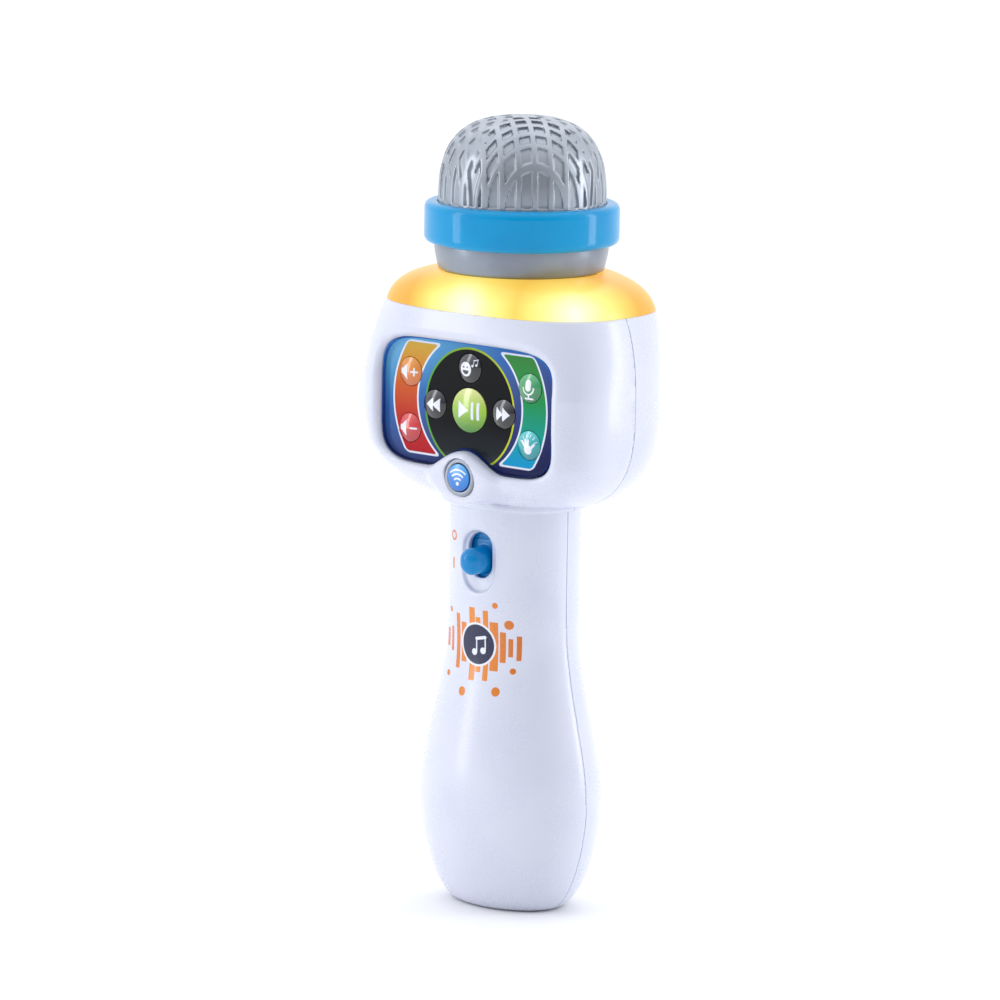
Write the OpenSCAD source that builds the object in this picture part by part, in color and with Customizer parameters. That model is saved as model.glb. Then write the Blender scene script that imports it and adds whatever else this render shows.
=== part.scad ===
// Toy microphone: a battery-powered hand-held karaoke toy with a light-up dome,
// a keypad in the head and an on/off slider on the handle.
// Units are millimetres, +Z is up and the keypad faces -Y.
// The origin is the middle of the flat base.

/* [Shells] */
// Wall thickness of the moulded shells
wall = 2.2; // [1.6:0.1:2.6]
// Plane where the front and rear shells meet
seam_y = -1.5; // [-2:0.5:0]
// Number of facets round half of a shell
rails = 28; // [16:4:36]

/* [Handle] */
// Half width of the base, seen at 40 degrees
base_s = 15.6; // [15:0.2:19]
// Half width of the swelling that holds the batteries, seen at 40 degrees
bulge_s = 29.65; // [28:0.05:31]
// Height of the widest part of the swelling
bulge_z = 34; // [30:1:38]
// Half width of the neck, seen at 40 degrees
neck_s = 21.4; // [20:0.2:23]
// Height at which the swelling ends and the straight neck begins
neck_z = 92; // [90:1:102]
// Half width across X over the half width seen at 40 degrees
handle_x = 1.1; // [1.05:0.01:1.12]
// Half depth along Y over the half width seen at 40 degrees
handle_y = 0.84; // [0.8:0.01:0.88]
// The same two ratios at the rounder neck
neck_x = 1.056; // [1.02:0.004:1.08]
neck_y = 0.914; // [0.88:0.002:0.94]

/* [Head] */
// Height of the underside of the head
head_z0 = 134.5; // [133:0.5:136]
// Height of the seam between the white shells and the light dome
head_z1 = 196.4; // [194:0.2:198]
// Height at which the head is widest
head_mid = 168; // [164:1:172]
// Half width of the head across X
head_c = 49.5; // [48:0.5:52]
// Distance from the axis to the front of the head
head_bf = 32; // [31:0.5:33]
// Distance from the axis to the back of the head
head_br = 33; // [32:0.5:35]

/* [Keypad] */
// Height of the middle of the keypad
pad_z = 164.7; // [163:0.1:166]
// Half width of the window in the front shell
win_c = 35.8; // [34:0.1:37]
// Half height of the window
win_b = 20.8; // [20:0.1:22]
// Height of the middle of the window
win_z = 165.6; // [165:0.1:167]
// Depth of the keypad's printed face
face_y = -24.4; // [-25:0.1:-24]
// Radius of a small key
key_r = 4.6; // [4:0.1:4.8]
// Radius of the play and pause key
play_r = 7.1; // [6.5:0.1:7.2]
// How far a key travels when it is pressed
key_travel = 0.8; // [0.4:0.1:0.8]

/* [Switch] */
// Height of the middle of the switch slot
slot_z = 116.5; // [115:0.1:119]
// How far the slider travels from on to off
slide_travel = 4; // [3:0.1:4.2]

/* [Top] */
// Radius of the blue bumper ring
ring_r = 31.4; // [30:0.1:33]
// Bottom of the bumper ring
ring_z0 = 216.3; // [216:0.1:218]
// Top of the bumper ring
ring_z1 = 229.6; // [228:0.1:231]
// Radius of the grille dome
dome_r = 27; // [26:0.1:27]
// Height of the whole toy
total_h = 257; // [250:0.5:262]
// Bottom of the grey collar
collar_z = 207.8; // [207:0.1:209]

/* [Batteries] */
// Radius of an AA cell
cell_r = 7.2; // [7:0.05:7.25]
// Length of an AA cell without its button
cell_len = 49.2; // [48:0.1:50]
// Distance of the row of cells behind the axis
cell_y = 2; // [1:0.5:3]
// Half width of the battery door
door_c = 19.5; // [18:0.5:20]
// Bottom edge of the battery door
door_z0 = 9.5; // [9:0.5:11]
// Top edge of the battery door
door_z1 = 76; // [75:0.5:78]

/* [Hidden] */
$fn = 48;

white = [0.92, 0.93, 0.97];
blue = [0.02, 0.55, 0.85];
grey = [0.55, 0.57, 0.6];
metal = [0.75, 0.76, 0.78];
board = [0.1, 0.4, 0.2];

// Gaps between neighbouring pieces
gap = 0.1;
run_gap = 0.25;

// Head profile: how fast it closes in below and above its widest height
head_drop = 37;
head_rise = 52;
low_power = 3;
high_power = 2.5;
// Height over which the handle grows rounder above the battery door
neck_blend = 30;
// Lip between the head and the neck
lip_z = 132;
lip_s = 24;

// Keypad grid
side_key_x = 25;
side_key_z = 165.05;
side_key_dz = 9.15;
turn_key_x = 14.4;
voice_dz = 13.6;
play_z = 164.3;
small_flange = 0.7;
window_lip = 3;
panel_t = 2;
flange_t = 1;
key_back = panel_t + 0.3;
key_clearance = 0.2;
membrane_y = face_y + key_back + flange_t + key_travel + key_clearance;
membrane_t = 0.8;
pcb_y = membrane_y + membrane_t;
pcb_t = 1.6;

// Pairing button on the chin under the window
pair_z = 143.1;
pair_y = -29.9;
bezel_r = 6.2;
pair_r = 4.35;
chin_y = -28.6;
chin_z = 143;
chin_c = 14;
chin_b = 8.5;

// Switch
slot_w = 9.8;
slot_h = 14.9;
recess_w = 13;
recess_h = 20;
recess_z = 114.6;
recess_y = -17.9;
recess_floor_t = 1.9;
knob_z = 115;
knob_w = 7.8;
knob_h = 8.8;
knob_rise = 9.9;

// Speaker behind the rear shell
spk_z = 166;
spk_r = 20;
spk_y = 27.4;

// Case screws and circuit board posts: [x, z] of each
head_screws = [[-40.5, 186], [40.5, 186], [-40.5, 152], [40.5, 152]];
neck_screws = [[-16.5, 128], [16.5, 128]];
pcb_posts = [[-31, 149.5], [31, 149.5], [-31, 181.5], [31, 181.5]];
head_post_r = 3;
neck_post_r = 2.8;
pilot_r = 1.2;
board_post_r = 2.2;
board_c = 34;
board_z0 = 146;
board_h = 39;
// How far the skin stands outside the solid that trims the inner posts
skin = 0.7;
post_from_z = 60;

// ---- Shell surface ------------------------------------------------------------------------

function blend(a, b, t) = a + (b - a) * max(0, min(1, t));

function handle_s(z) =
    z < bulge_z ? base_s + (bulge_s - base_s) * sqrt(1 - pow((bulge_z - z) / bulge_z, 1.55))
    : z < neck_z ? neck_s + (bulge_s - neck_s) * (1 + cos(180 * (z - bulge_z) / (neck_z - bulge_z))) / 2
    : neck_s;

function head_f(z) =
    z < head_mid ? pow(1 - pow((head_mid - z) / head_drop, low_power), 1 / low_power)
    : pow(1 - pow((z - head_mid) / head_rise, high_power), 1 / high_power);

// [half width, front depth, rear depth, front squareness, rear squareness] at a height
function handle_section(s, z) =
    let (t = max(0, min(1, (z - door_z1) / neck_blend)), u = t * t * (3 - 2 * t),
         x = blend(handle_x, neck_x, u), y = blend(handle_y, neck_y, u))
    [s * x, s * y + seam_y, s * y - seam_y, 2, 2];
function head_section(z) =
    let (f = head_f(z), up = (z - head_mid - 4) / (head_z1 - head_mid - 4), low = (z - head_z0) / 15)
    [head_c * f,
     head_bf * (z < head_mid ? f : blend(1, 0.97, up)) + seam_y,
     head_br * (z < head_mid ? f : 1) - seam_y,
     z < head_mid ? blend(2.3, 4, low) : blend(4, 2.7, up),
     z < head_mid ? blend(2.2, 2.4, low) : blend(2.4, 2.7, up)];
function section(z) =
    z < lip_z - 0.6 ? handle_section(handle_s(z), z)
    : z < head_z0 ? handle_section(lip_s, z)
    : head_section(z);

function oval_r(c, b, n, a) = pow(pow(abs(cos(a)) / c, n) + pow(abs(sin(a)) / b, n), -1 / n);

// One half outline, side -1 for the front and 1 for the rear, moved inwards by off
function half_outline(q, side, z, off) =
    [for (i = [0:rails])
        let (a = 180 * i / rails,
             r = oval_r(q[0] - off, (side < 0 ? q[1] : q[2]) - off, side < 0 ? q[3] : q[4], a))
        [r * cos(a), seam_y + side * r * sin(a), z]];

// Heights of the rings of the shell, from the base to the seam under the light dome
base_zs = [0, 0.7, wall];
low_zs = [for (k = [1:5]) wall + (bulge_z - wall) * pow(k / 5, 1.2)];
high_zs = [for (k = [1:8]) bulge_z + (neck_z - bulge_z) * k / 8];
neck_zs = [97, 102, 106, lip_z - 0.8, lip_z - 0.2, head_z0 - 0.01];
head_zs = [for (k = [0:6]) head_z0 + (head_mid - head_z0) * pow(k / 6, 1.5)];
top_zs = [for (k = [1:6]) head_mid + (head_z1 - head_mid) * k / 6];
ring_zs = concat(base_zs, low_zs, high_zs, neck_zs, head_zs, top_zs);
floor_ring = len(base_zs) - 1;
last = len(ring_zs) - 1;

function flipped(f) = [for (i = [len(f) - 1:-1:0]) f[i]];
function turned(faces, side) = side < 0 ? faces : [for (f = faces) flipped(f)];

// A hollow half shell with a closed floor and an open top
module half_shell(side) {
    outer = [for (z = ring_zs) each half_outline(section(z), side, z, 0)];
    inner = [for (k = [floor_ring:last]) each half_outline(section(ring_zs[k]), side, ring_zs[k], wall)];
    row = rails + 1;
    first_in = (last + 1) * row;
    function o(i, j) = i * row + j;
    function n(i, j) = first_in + (i - floor_ring) * row + j;
    walls = [for (i = [0:last - 1], j = [0:rails - 1]) [o(i, j), o(i, j + 1), o(i + 1, j + 1), o(i + 1, j)]];
    lining = [for (i = [floor_ring:last - 1], j = [0:rails - 1])
        [n(i, j), n(i + 1, j), n(i + 1, j + 1), n(i, j + 1)]];
    rim = [for (j = [0:rails - 1]) [o(last, j), o(last, j + 1), n(last, j + 1), n(last, j)]];
    base = [flipped([for (j = [0:rails]) o(0, j)])];
    floor_top = [[for (j = [0:rails]) n(floor_ring, j)]];
    edge_a = [for (i = [floor_ring:last - 1]) [o(i, 0), o(i + 1, 0), n(i + 1, 0), n(i, 0)]];
    edge_b = [for (i = [floor_ring:last - 1])
        [o(i, rails), n(i, rails), n(i + 1, rails), o(i + 1, rails)]];
    strip = [concat([for (i = [0:floor_ring]) o(i, 0)], [n(floor_ring, 0), n(floor_ring, rails)],
        [for (i = [floor_ring:-1:0]) o(i, rails)])];
    polyhedron(concat(outer, inner),
        turned(concat(walls, lining, rim, base, floor_top, edge_a, edge_b, strip), side), convexity = 8);
}

// The same half shell filled in, moved inwards by off, to trim what is inside it
module half_solid(side, off, from_z = 0) {
    zs = [for (z = ring_zs) if (z >= from_z) z];
    top = len(zs) - 1;
    points = [for (z = zs) each half_outline(section(z), side, z, off)];
    row = rails + 1;
    walls = [for (i = [0:top - 1], j = [0:rails - 1])
        [i * row + j, i * row + j + 1, (i + 1) * row + j + 1, (i + 1) * row + j]];
    flat = [for (i = [0:top - 1])
        [i * row, (i + 1) * row, (i + 1) * row + rails, i * row + rails]];
    base = [flipped([for (j = [0:rails]) j])];
    lid = [[for (j = [0:rails]) top * row + j]];
    polyhedron(points, turned(concat(walls, flat, base, lid), side), convexity = 4);
}

// ---- Helpers ------------------------------------------------------------------------------

// A round peg along Y between two depths
module peg(x, z, y0, y1, r) {
    translate([x, y1, z]) rotate([90, 0, 0]) cylinder(h = y1 - y0, r = r);
}

// A shape drawn in XY, with Y as height, raised towards the front from depth y
module raised(y, h) {
    translate([0, y, 0]) rotate([90, 0, 0]) linear_extrude(h) children();
}

module stadium(w, h) {
    translate([0, (h - w) / 2]) circle(d = w);
    translate([0, (w - h) / 2]) circle(d = w);
    square([w, h - w], center = true);
}

// Window outline: a rounded box whose bottom edge rises round the pairing button
function lobe_z(x, grow) = abs(x) < 17 ? win_z - win_b + 3.3 * (1 + cos(180 * x / 17)) - grow : -1000;
function window_points(grow) =
    [for (a = [0:6:354])
        let (r = oval_r(win_c + grow, win_b + grow, 5.3, a), x = r * cos(a), z = win_z + r * sin(a))
        [x, a > 180 ? max(z, lobe_z(x, grow)) : z]];

module window_shape(grow) {
    polygon(window_points(grow));
}

module screw(head_r, head_h, shank_r, len) {
    translate([0, 0, -len]) cylinder(h = len + gap, r = shank_r);
    difference() {
        cylinder(h = head_h, r1 = head_r, r2 = head_r * 0.8);
        translate([0, 0, head_h * 0.5]) {
            translate([-head_r * 0.55, -0.35, 0]) cube([head_r * 1.1, 0.7, head_h]);
            translate([-0.35, -head_r * 0.55, 0]) cube([0.7, head_r * 1.1, head_h]);
        }
    }
}

// ---- White shells -------------------------------------------------------------------------

module chin_outline(edge) {
    translate([0, chin_z]) polygon([for (a = [0:10:350])
        oval_r(chin_c - edge, chin_b - edge, 2.3, a) * [cos(a), sin(a)]]);
}

// The chin round the pairing button, in layers that shrink towards the front
module chin() {
    middle_y = -24;
    back_y = -20.2;
    back_top_z = 143;
    layers = 4;
    round_r = 3;
    for (k = [0:layers - 1])
        raised(middle_y, middle_y - chin_y - round_r * (1 - k / (layers - 1)))
            chin_outline(round_r * (1 - sqrt(1 - pow(k / layers, 2))));
    raised(back_y, back_y - middle_y + 0.5) intersection() {
        chin_outline(0);
        translate([-chin_c, back_top_z - 2 * chin_b]) square(2 * [chin_c, chin_b]);
    }
}

module front_housing() {
    color(white)
    difference() {
        union() {
            half_shell(-1);
            intersection() {
                union() {
                    raised(face_y + 0.3, 12) window_shape(window_lip);
                    translate([0, 0, recess_z]) raised(recess_y + recess_floor_t, 8)
                        stadium(recess_w + 4, recess_h + 4);
                    for (p = head_screws) peg(p[0], p[1], -40, seam_y - 0.3, head_post_r);
                    for (p = neck_screws) peg(p[0], p[1], -40, seam_y - 0.3, neck_post_r);
                }
                half_solid(-1, skin, post_from_z);
            }
            chin();
        }
        raised(-15, 40) window_shape(0);
        peg(0, pair_z, -40, -19, bezel_r + 0.05);
        translate([0, 0, recess_z]) raised(recess_y, 20) stadium(recess_w, recess_h);
        translate([0, 0, slot_z]) raised(-10, 20) stadium(slot_w, slot_h);
        for (p = concat(head_screws, neck_screws)) peg(p[0], p[1], -10, 0, pilot_r);
    }
}

screw_seat_y = 5;
screw_recess_r = 3.3;
neck_recess_r = 3;
screw_hole_r = 1.6;
hole_pitch = 4.4;
hole_r = 1.1;

// A middle hole and three rings of 6, 12 and 18 holes
module speaker_holes() {
    for (k = [0:3], i = [0:max(0, 6 * k - 1)]) {
        a = 360 * i / max(1, 6 * k);
        peg(hole_pitch * k * cos(a), spk_z + hole_pitch * k * sin(a), 26, 40, hole_r);
    }
}

door_post_z = 13.5;
door_post_y0 = 7;
door_post_y1 = 17;
door_gap = 0.3;

module rear_housing() {
    color(white)
    difference() {
        union() {
            half_shell(1);
            intersection() {
                union() {
                    for (p = head_screws) peg(p[0], p[1], seam_y + 0.1, 40, 4.8);
                    for (p = neck_screws) peg(p[0], p[1], seam_y + 0.1, 40, 4);
                    difference() {
                        peg(0, spk_z, 23, 40, spk_r + 2.2);
                        peg(0, spk_z, 20, 40, spk_r + 0.4);
                    }
                }
                half_solid(1, skin, post_from_z);
            }
            peg(0, door_post_z, door_post_y0, door_post_y1, 3.4);
            translate([-1.2, door_post_y0, wall - 0.7]) cube([2.4, 9, door_post_z - 3.5]);
        }
        for (p = head_screws) peg(p[0], p[1], screw_seat_y, 40, screw_recess_r);
        for (p = neck_screws) peg(p[0], p[1], screw_seat_y, 40, neck_recess_r);
        for (p = concat(head_screws, neck_screws)) peg(p[0], p[1], -10, screw_seat_y + 1, screw_hole_r);
        speaker_holes();
        translate([-door_c - door_gap, 4, door_z0 - door_gap])
            cube([2 * (door_c + door_gap), 40, door_z1 - door_z0 + 2 * door_gap]);
        peg(0, door_post_z, 10, 40, 2.3);
    }
}

// ---- Top: light dome, collar, ring and grille ---------------------------------------------

dome_h = collar_z - head_z1 - gap;
collar_r = 26.7;
dome_rows = 7;

// Shoulder of the light dome: the middle control point of its curve, as a share of spread and rise
shoulder_spread = 0.85;
shoulder_rise = 0.8;

// Profile of the light dome: spread from 1 at the seam to 0 at the collar, and rise from 0 to 1
function dome_spread(t) = pow(1 - t, 2) + 2 * shoulder_spread * t * (1 - t);
function dome_rise(t) = 2 * shoulder_rise * t * (1 - t) + t * t;

function full_outline(q, off) =
    concat([for (p = half_outline(q, -1, 0, off)) [p[0], p[1]]],
        [for (i = [rails - 1:-1:1]) let (p = half_outline(q, 1, 0, off)[i]) [p[0], p[1]]]);

function dome_ring(t, off) =
    let (edge = full_outline(section(head_z1), off), w = dome_spread(t),
         z = head_z1 + gap + (dome_h - (off > 0 ? 2 : 0)) * dome_rise(t))
    [for (p = edge) let (a = atan2(p[1], p[0]), r = collar_r - off)
        [w * p[0] + (1 - w) * r * cos(a), w * p[1] + (1 - w) * r * sin(a), z]];

module light_dome() {
    count = 2 * rails;
    outer = [for (i = [0:dome_rows]) each dome_ring(i / dome_rows, 0)];
    inner = [for (i = [0:dome_rows]) each dome_ring(i / dome_rows, 2)];
    base = (dome_rows + 1) * count;
    walls = [for (i = [0:dome_rows - 1], j = [0:count - 1]) let (k = (j + 1) % count)
        [i * count + j, i * count + k, (i + 1) * count + k, (i + 1) * count + j]];
    lining = [for (i = [0:dome_rows - 1], j = [0:count - 1]) let (k = (j + 1) % count)
        [base + i * count + j, base + (i + 1) * count + j,
         base + (i + 1) * count + k, base + i * count + k]];
    bottom = [for (j = [0:count - 1]) let (k = (j + 1) % count) [j, base + j, base + k, k]];
    top = [for (j = [0:count - 1]) let (k = (j + 1) % count, m = dome_rows * count)
        [m + j, m + k, base + m + k, base + m + j]];
    color([1, 0.85, 0.3, 0.9])
        polyhedron(concat(outer, inner), concat(walls, lining, bottom, top), convexity = 6);
}

collar_step_z = 222;
collar_top_r = 28.1;
skirt_z = 203;
skirt_r = 24.4;
skirt_bore = 23.2;
leg_r = 0.6;

// The collar carries the ring and grille; its skirt stands on the light board on two thin legs
module collar() {
    leg_z = led_z + led_board_t;
    color(grey) {
        rotate_extrude() polygon(concat(
            [[skirt_bore, skirt_z], [skirt_r, skirt_z], [skirt_r, collar_z]],
            [for (a = [-90:15:0]) [collar_r - 1 + cos(a), collar_z + 1 + sin(a)]],
            [[collar_top_r, ring_z0 - 1.8], [collar_top_r, collar_step_z], [skirt_bore, collar_step_z]]));
        for (x = [-1, 1] * (skirt_r + skirt_bore) / 2)
            translate([x, 0, leg_z]) cylinder(h = skirt_z + 0.5 - leg_z, r = leg_r);
    }
}

module bumper_ring() {
    e = 2.6;
    bore = dome_r + 0.15;
    color(blue) rotate_extrude() polygon(concat(
        [[collar_top_r + gap, collar_step_z], [collar_top_r + gap, ring_z0]],
        [for (a = [-90:10:0]) [ring_r - e + e * cos(a), ring_z0 + e + e * sin(a)]],
        [for (a = [0:10:90]) [ring_r - e + e * cos(a), ring_z1 - e + e * sin(a)]],
        [[bore + 0.5, ring_z1], [bore, ring_z1 - 0.5], [bore, collar_step_z]]));
}

grille_power = 2.8;
grille_t = 2;
function grille_point(a, r, h) =
    [r * pow(cos(a), 2 / grille_power), ring_z1 + h * pow(sin(a), 2 / grille_power)];

module grille_dome() {
    h = total_h - ring_z1;
    color(grey) rotate_extrude() polygon(concat(
        [[dome_r - grille_t, collar_step_z + gap], [dome_r, collar_step_z + gap]],
        [for (a = [0:5:85]) grille_point(a, dome_r, h)],
        [[0, total_h], [0, total_h - grille_t]],
        [for (a = [85:-5:0]) grille_point(a, dome_r - grille_t, h - grille_t)]));
}

// ---- Microphone ---------------------------------------------------------------------------

bracket_z = 219;
bracket_t = 1.6;
stem_h = 12;
holder_z = bracket_z + 1 + stem_h + gap;
holder_floor = 2;
capsule_r = 4.85;
capsule_h = 6.5;

module mic_bracket() {
    color("dimgray") difference() {
        union() {
            translate([0, 0, bracket_z]) cylinder(h = bracket_t, r = skirt_bore - 0.2);
            translate([0, 0, bracket_z + 1]) cylinder(h = stem_h, r = 3);
        }
        for (i = [0:5]) rotate(60 * i) translate([13, 0, bracket_z - 1]) cylinder(h = 4, r = 3);
    }
}

module mic_holder() {
    color([0.15, 0.15, 0.16]) translate([0, 0, holder_z]) difference() {
        cylinder(h = 9, r = 7);
        translate([0, 0, holder_floor]) cylinder(h = 9, r = capsule_r + gap);
    }
}

module mic_capsule() {
    color(metal) translate([0, 0, holder_z + holder_floor + gap]) difference() {
        cylinder(h = capsule_h, r = capsule_r);
        for (i = [0:4]) rotate(72 * i) translate([2.2, 0, capsule_h - 1.5]) cylinder(h = 2, r = 0.5);
    }
}

// ---- Keypad -------------------------------------------------------------------------------

// Keys: [x, z, radius] of each
play = [0, play_z, play_r];
previous = [-turn_key_x, pad_z, key_r];
next = [turn_key_x, pad_z, key_r];
voice = [0, play_z + voice_dz, key_r];
volume_up = [-side_key_x, side_key_z + side_key_dz, key_r];
volume_down = [-side_key_x, side_key_z - side_key_dz, key_r];
record = [side_key_x, side_key_z + side_key_dz, key_r];
applause = [side_key_x, side_key_z - side_key_dz, key_r];
keys = [play, previous, next, voice, volume_up, volume_down, record, applause];

module control_panel() {
    back_y = face_y + panel_t;
    edge = -0.15;
    color([0.1, 0.16, 0.45]) difference() {
        union() {
            raised(back_y, panel_t) window_shape(edge);
            raised(back_y, panel_t - 0.4) window_shape(1.6);
            difference() {
                raised(face_y + 0.1, 1.9) window_shape(edge);
                raised(face_y + 0.2, 4) window_shape(edge - 1.05);
            }
            for (p = pcb_posts) peg(p[0], p[1], back_y - 0.5, pcb_y - 0.05, board_post_r);
        }
        for (k = keys) peg(k[0], k[1], -30, -20, k[2] + run_gap);
        for (p = pcb_posts) peg(p[0], p[1], back_y - 0.4, 0, 0.8);
    }
}

// A key: a shallow dome, a straight body and a flange that keeps it behind the panel
module key(k) {
    r = k[2];
    rise = 1.1;
    back = face_y + key_back;
    translate([k[0], face_y, k[1]]) rotate([90, 0, 0]) rotate_extrude() polygon(concat(
        [[0, face_y - back - flange_t], [r + small_flange, face_y - back - flange_t],
         [r + small_flange, face_y - back], [r, face_y - back], [r, 0.1]],
        [for (t = [1:-0.125:0]) [r * t, 0.1 + rise * (1 - t * t)]]));
}

module play_pause_key() { color([0.6, 0.85, 0.15]) key(play); }
module previous_key() { color([0.1, 0.1, 0.12]) key(previous); }
module next_key() { color([0.1, 0.1, 0.12]) key(next); }
module voice_key() { color([0.1, 0.1, 0.12]) key(voice); }
module volume_up_key() { color([0.85, 0.5, 0.15]) key(volume_up); }
module volume_down_key() { color([0.8, 0.25, 0.25]) key(volume_down); }
module record_key() { color([0.2, 0.6, 0.3]) key(record); }
module applause_key() { color([0.1, 0.65, 0.65]) key(applause); }

module keypad_membrane() {
    color([0.85, 0.85, 0.85]) difference() {
        translate([-board_c, membrane_y, board_z0]) cube([2 * board_c, membrane_t, board_h]);
        for (p = pcb_posts) peg(p[0], p[1], membrane_y - 1, pcb_y + 1, board_post_r + 0.2);
    }
}

module main_pcb() {
    color(board) difference() {
        union() {
            translate([-board_c, pcb_y, board_z0]) cube([2 * board_c, pcb_t, board_h]);
            translate([-8, pcb_y, board_z0 - 8.5]) cube([16, pcb_t, 9]);
        }
        for (p = pcb_posts) peg(p[0], p[1], -25, -10, 1.3);
    }
}

module pcb_screws() {
    color(metal) for (p = pcb_posts)
        translate([p[0], pcb_y + pcb_t + 0.05, p[1]]) rotate([-90, 0, 0]) screw(2, 1.2, 0.75, 5);
}

chip_y = pcb_y + pcb_t + 0.05;

module processor_chip() { color([0.12, 0.12, 0.13]) translate([-7, chip_y, 158]) cube([14, 1.4, 14]); }
module wireless_module() { color(metal) translate([-27, chip_y, 160]) cube([13, 2.2, 17]); }
module capacitors() {
    color([0.2, 0.25, 0.5]) for (x = [15, 23]) peg(x, 152, chip_y, chip_y + 8, 3);
}
module pairing_tact_switch() {
    color([0.2, 0.2, 0.22]) {
        translate([-2.8, pcb_y - 3.2, pair_z - 2.8]) cube([5.6, 3.15, 5.6]);
        peg(0, pair_z, pcb_y - 4, pcb_y - 3.1, 1.6);
    }
}

// ---- Pairing button -----------------------------------------------------------------------

bezel_y = chin_y - 0.6;
bezel_depth = 3.2;

module pairing_bezel() {
    bore = pair_r + run_gap;
    color([0.6, 0.62, 0.65]) translate([0, bezel_y, pair_z]) rotate([90, 0, 0]) rotate_extrude()
        polygon([[bore, -bezel_depth], [bezel_r, -bezel_depth], [bezel_r, -0.6], [bezel_r - 0.5, 0],
            [bore + 0.4, 0], [bore, -0.4]]);
}

// The button: a nearly flat cap on a body with a flange behind the bezel
module pairing_button() {
    flange = pair_y - (bezel_y + bezel_depth + 0.2);
    flange_r = bezel_r - 0.4;
    color([0.2, 0.5, 0.85]) translate([0, pair_y, pair_z]) rotate([90, 0, 0]) rotate_extrude()
        polygon(concat(
            [[0, flange - 1], [flange_r, flange - 1], [flange_r, flange], [pair_r, flange], [pair_r, -0.5]],
            [for (t = [0.9:-0.15:0]) [pair_r * t, -0.4 * t * t]], [[0, 0]]));
}

// ---- On/off slider ------------------------------------------------------------------------

plate_y = -15.5;
plate_w = 12;
plate_h = 22.8;
plate_drop = 11;
knob_round = 3.4;
knob_layers = 5;

function knob_inset(t) = knob_round * (1 - sqrt(1 - t * t));

module switch_knob() {
    color(blue) {
        translate([0, plate_y, knob_z]) rotate([90, 0, 0]) {
            linear_extrude(knob_rise - knob_round) stadium(knob_w, knob_h);
            for (k = [1:knob_layers]) let (inset = knob_inset(k / (knob_layers + 1)))
                translate([0, 0, knob_rise - knob_round - 0.01])
                    linear_extrude(knob_round * k / knob_layers)
                        stadium(knob_w - 2 * inset, knob_h - 2 * inset);
        }
        translate([-plate_w / 2, plate_y - 0.1, knob_z - plate_drop]) cube([plate_w, 1.3, plate_h]);
        translate([-1.5, plate_y + 1.1, knob_z - 1.5]) cube([3, 3.4, 3]);
    }
}

module slide_switch() {
    travel_slot = 3 + slide_travel + 1;
    color(metal) difference() {
        translate([-4.5, plate_y + 2, slot_z - 9]) cube([9, 5, 18]);
        translate([-2, plate_y + 1, knob_z - 2]) cube([4, 4.2, travel_slot]);
    }
}

// ---- Batteries ----------------------------------------------------------------------------

tray_z0 = 15.8;
tray_z1 = 73.2;
tray_t = 1.2;
tray_back_y = -6.8;
cell_z = tray_z0 + tray_t + 4;
cell_pitch = 14.8;

module battery_tray() {
    color([0.85, 0.86, 0.9]) {
        translate([-20.8, tray_back_y, tray_z0]) cube([41.6, tray_t, tray_z1 - tray_z0]);
        for (z = [tray_z0, tray_z1 - tray_t]) translate([-18.5, tray_back_y, z]) cube([37, 15.8, tray_t]);
        for (x = [-0.5, 0.5] * cell_pitch)
            translate([x - 0.1, tray_back_y, tray_z0 + 2]) cube([0.2, 5, tray_z1 - tray_z0 - 4]);
    }
}

// Places a cell or spring in one of the three rows; the middle row is upside down
module in_row(i) {
    middle = (tray_z0 + tray_z1) / 2;
    translate([i * cell_pitch, cell_y, i == 0 ? 2 * middle : 0]) mirror([0, 0, i == 0 ? 1 : 0]) children();
}

module cell() {
    rotate_extrude() polygon([[0, 0], [cell_r - 0.5, 0], [cell_r, 0.5], [cell_r, cell_len - 0.5],
        [cell_r - 0.5, cell_len], [2.7, cell_len], [2.7, cell_len + 1.2], [0, cell_len + 1.2]]);
}

module batteries() {
    color([0.2, 0.35, 0.2]) for (i = [-1:1]) in_row(i) translate([0, 0, cell_z]) cell();
}

// Flattened turns of each spring, drawn as wound: a helix swept as a tube of six sides
spring_turns = 2.5;
spring_h = 2.6;
wire_r = 0.3;

module contact_spring() {
    steps = 30;
    sides = 6;
    function middle(u) =
        [3 * cos(360 * spring_turns * u), 3 * sin(360 * spring_turns * u), wire_r + spring_h * u];
    points = [for (k = [0:steps], s = [0:sides - 1])
        let (u = k / steps, a = 360 * spring_turns * u, b = 360 * s / sides)
        middle(u) + wire_r * [cos(b) * cos(a), cos(b) * sin(a), sin(b)]];
    sidewalls = [for (k = [0:steps - 1], s = [0:sides - 1]) let (t = (s + 1) % sides)
        [k * sides + s, (k + 1) * sides + s, (k + 1) * sides + t, k * sides + t]];
    polyhedron(points, concat(sidewalls,
        [[for (s = [0:sides - 1]) s], [for (s = [sides - 1:-1:0]) steps * sides + s]]), convexity = 10);
}

module contact_springs() {
    color(metal) for (i = [-1:1]) in_row(i)
        translate([0, 0, cell_z - spring_h - 2 * wire_r - gap]) contact_spring();
}

// A long and a short plate at each end of the tray
module contact_plates() {
    plate = 0.35;
    low = tray_z0 + tray_t + 0.02;
    high = tray_z1 - tray_t - plate - 0.02;
    color(metal) for (p = [[-20, low, 27], [9, low, 9], [-7, high, 27], [-18, high, 9]])
        translate([p[0], cell_y - 5, p[1]]) cube([p[2], 10, plate]);
}

// ---- Battery door -------------------------------------------------------------------------

door_t = 2;
tab_y = 12.9;
door_cols = 20;
door_rows = 22;

function shell_y(x, z) = let (q = section(z)) seam_y + q[2] * sqrt(1 - pow(x / q[0], 2));

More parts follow.
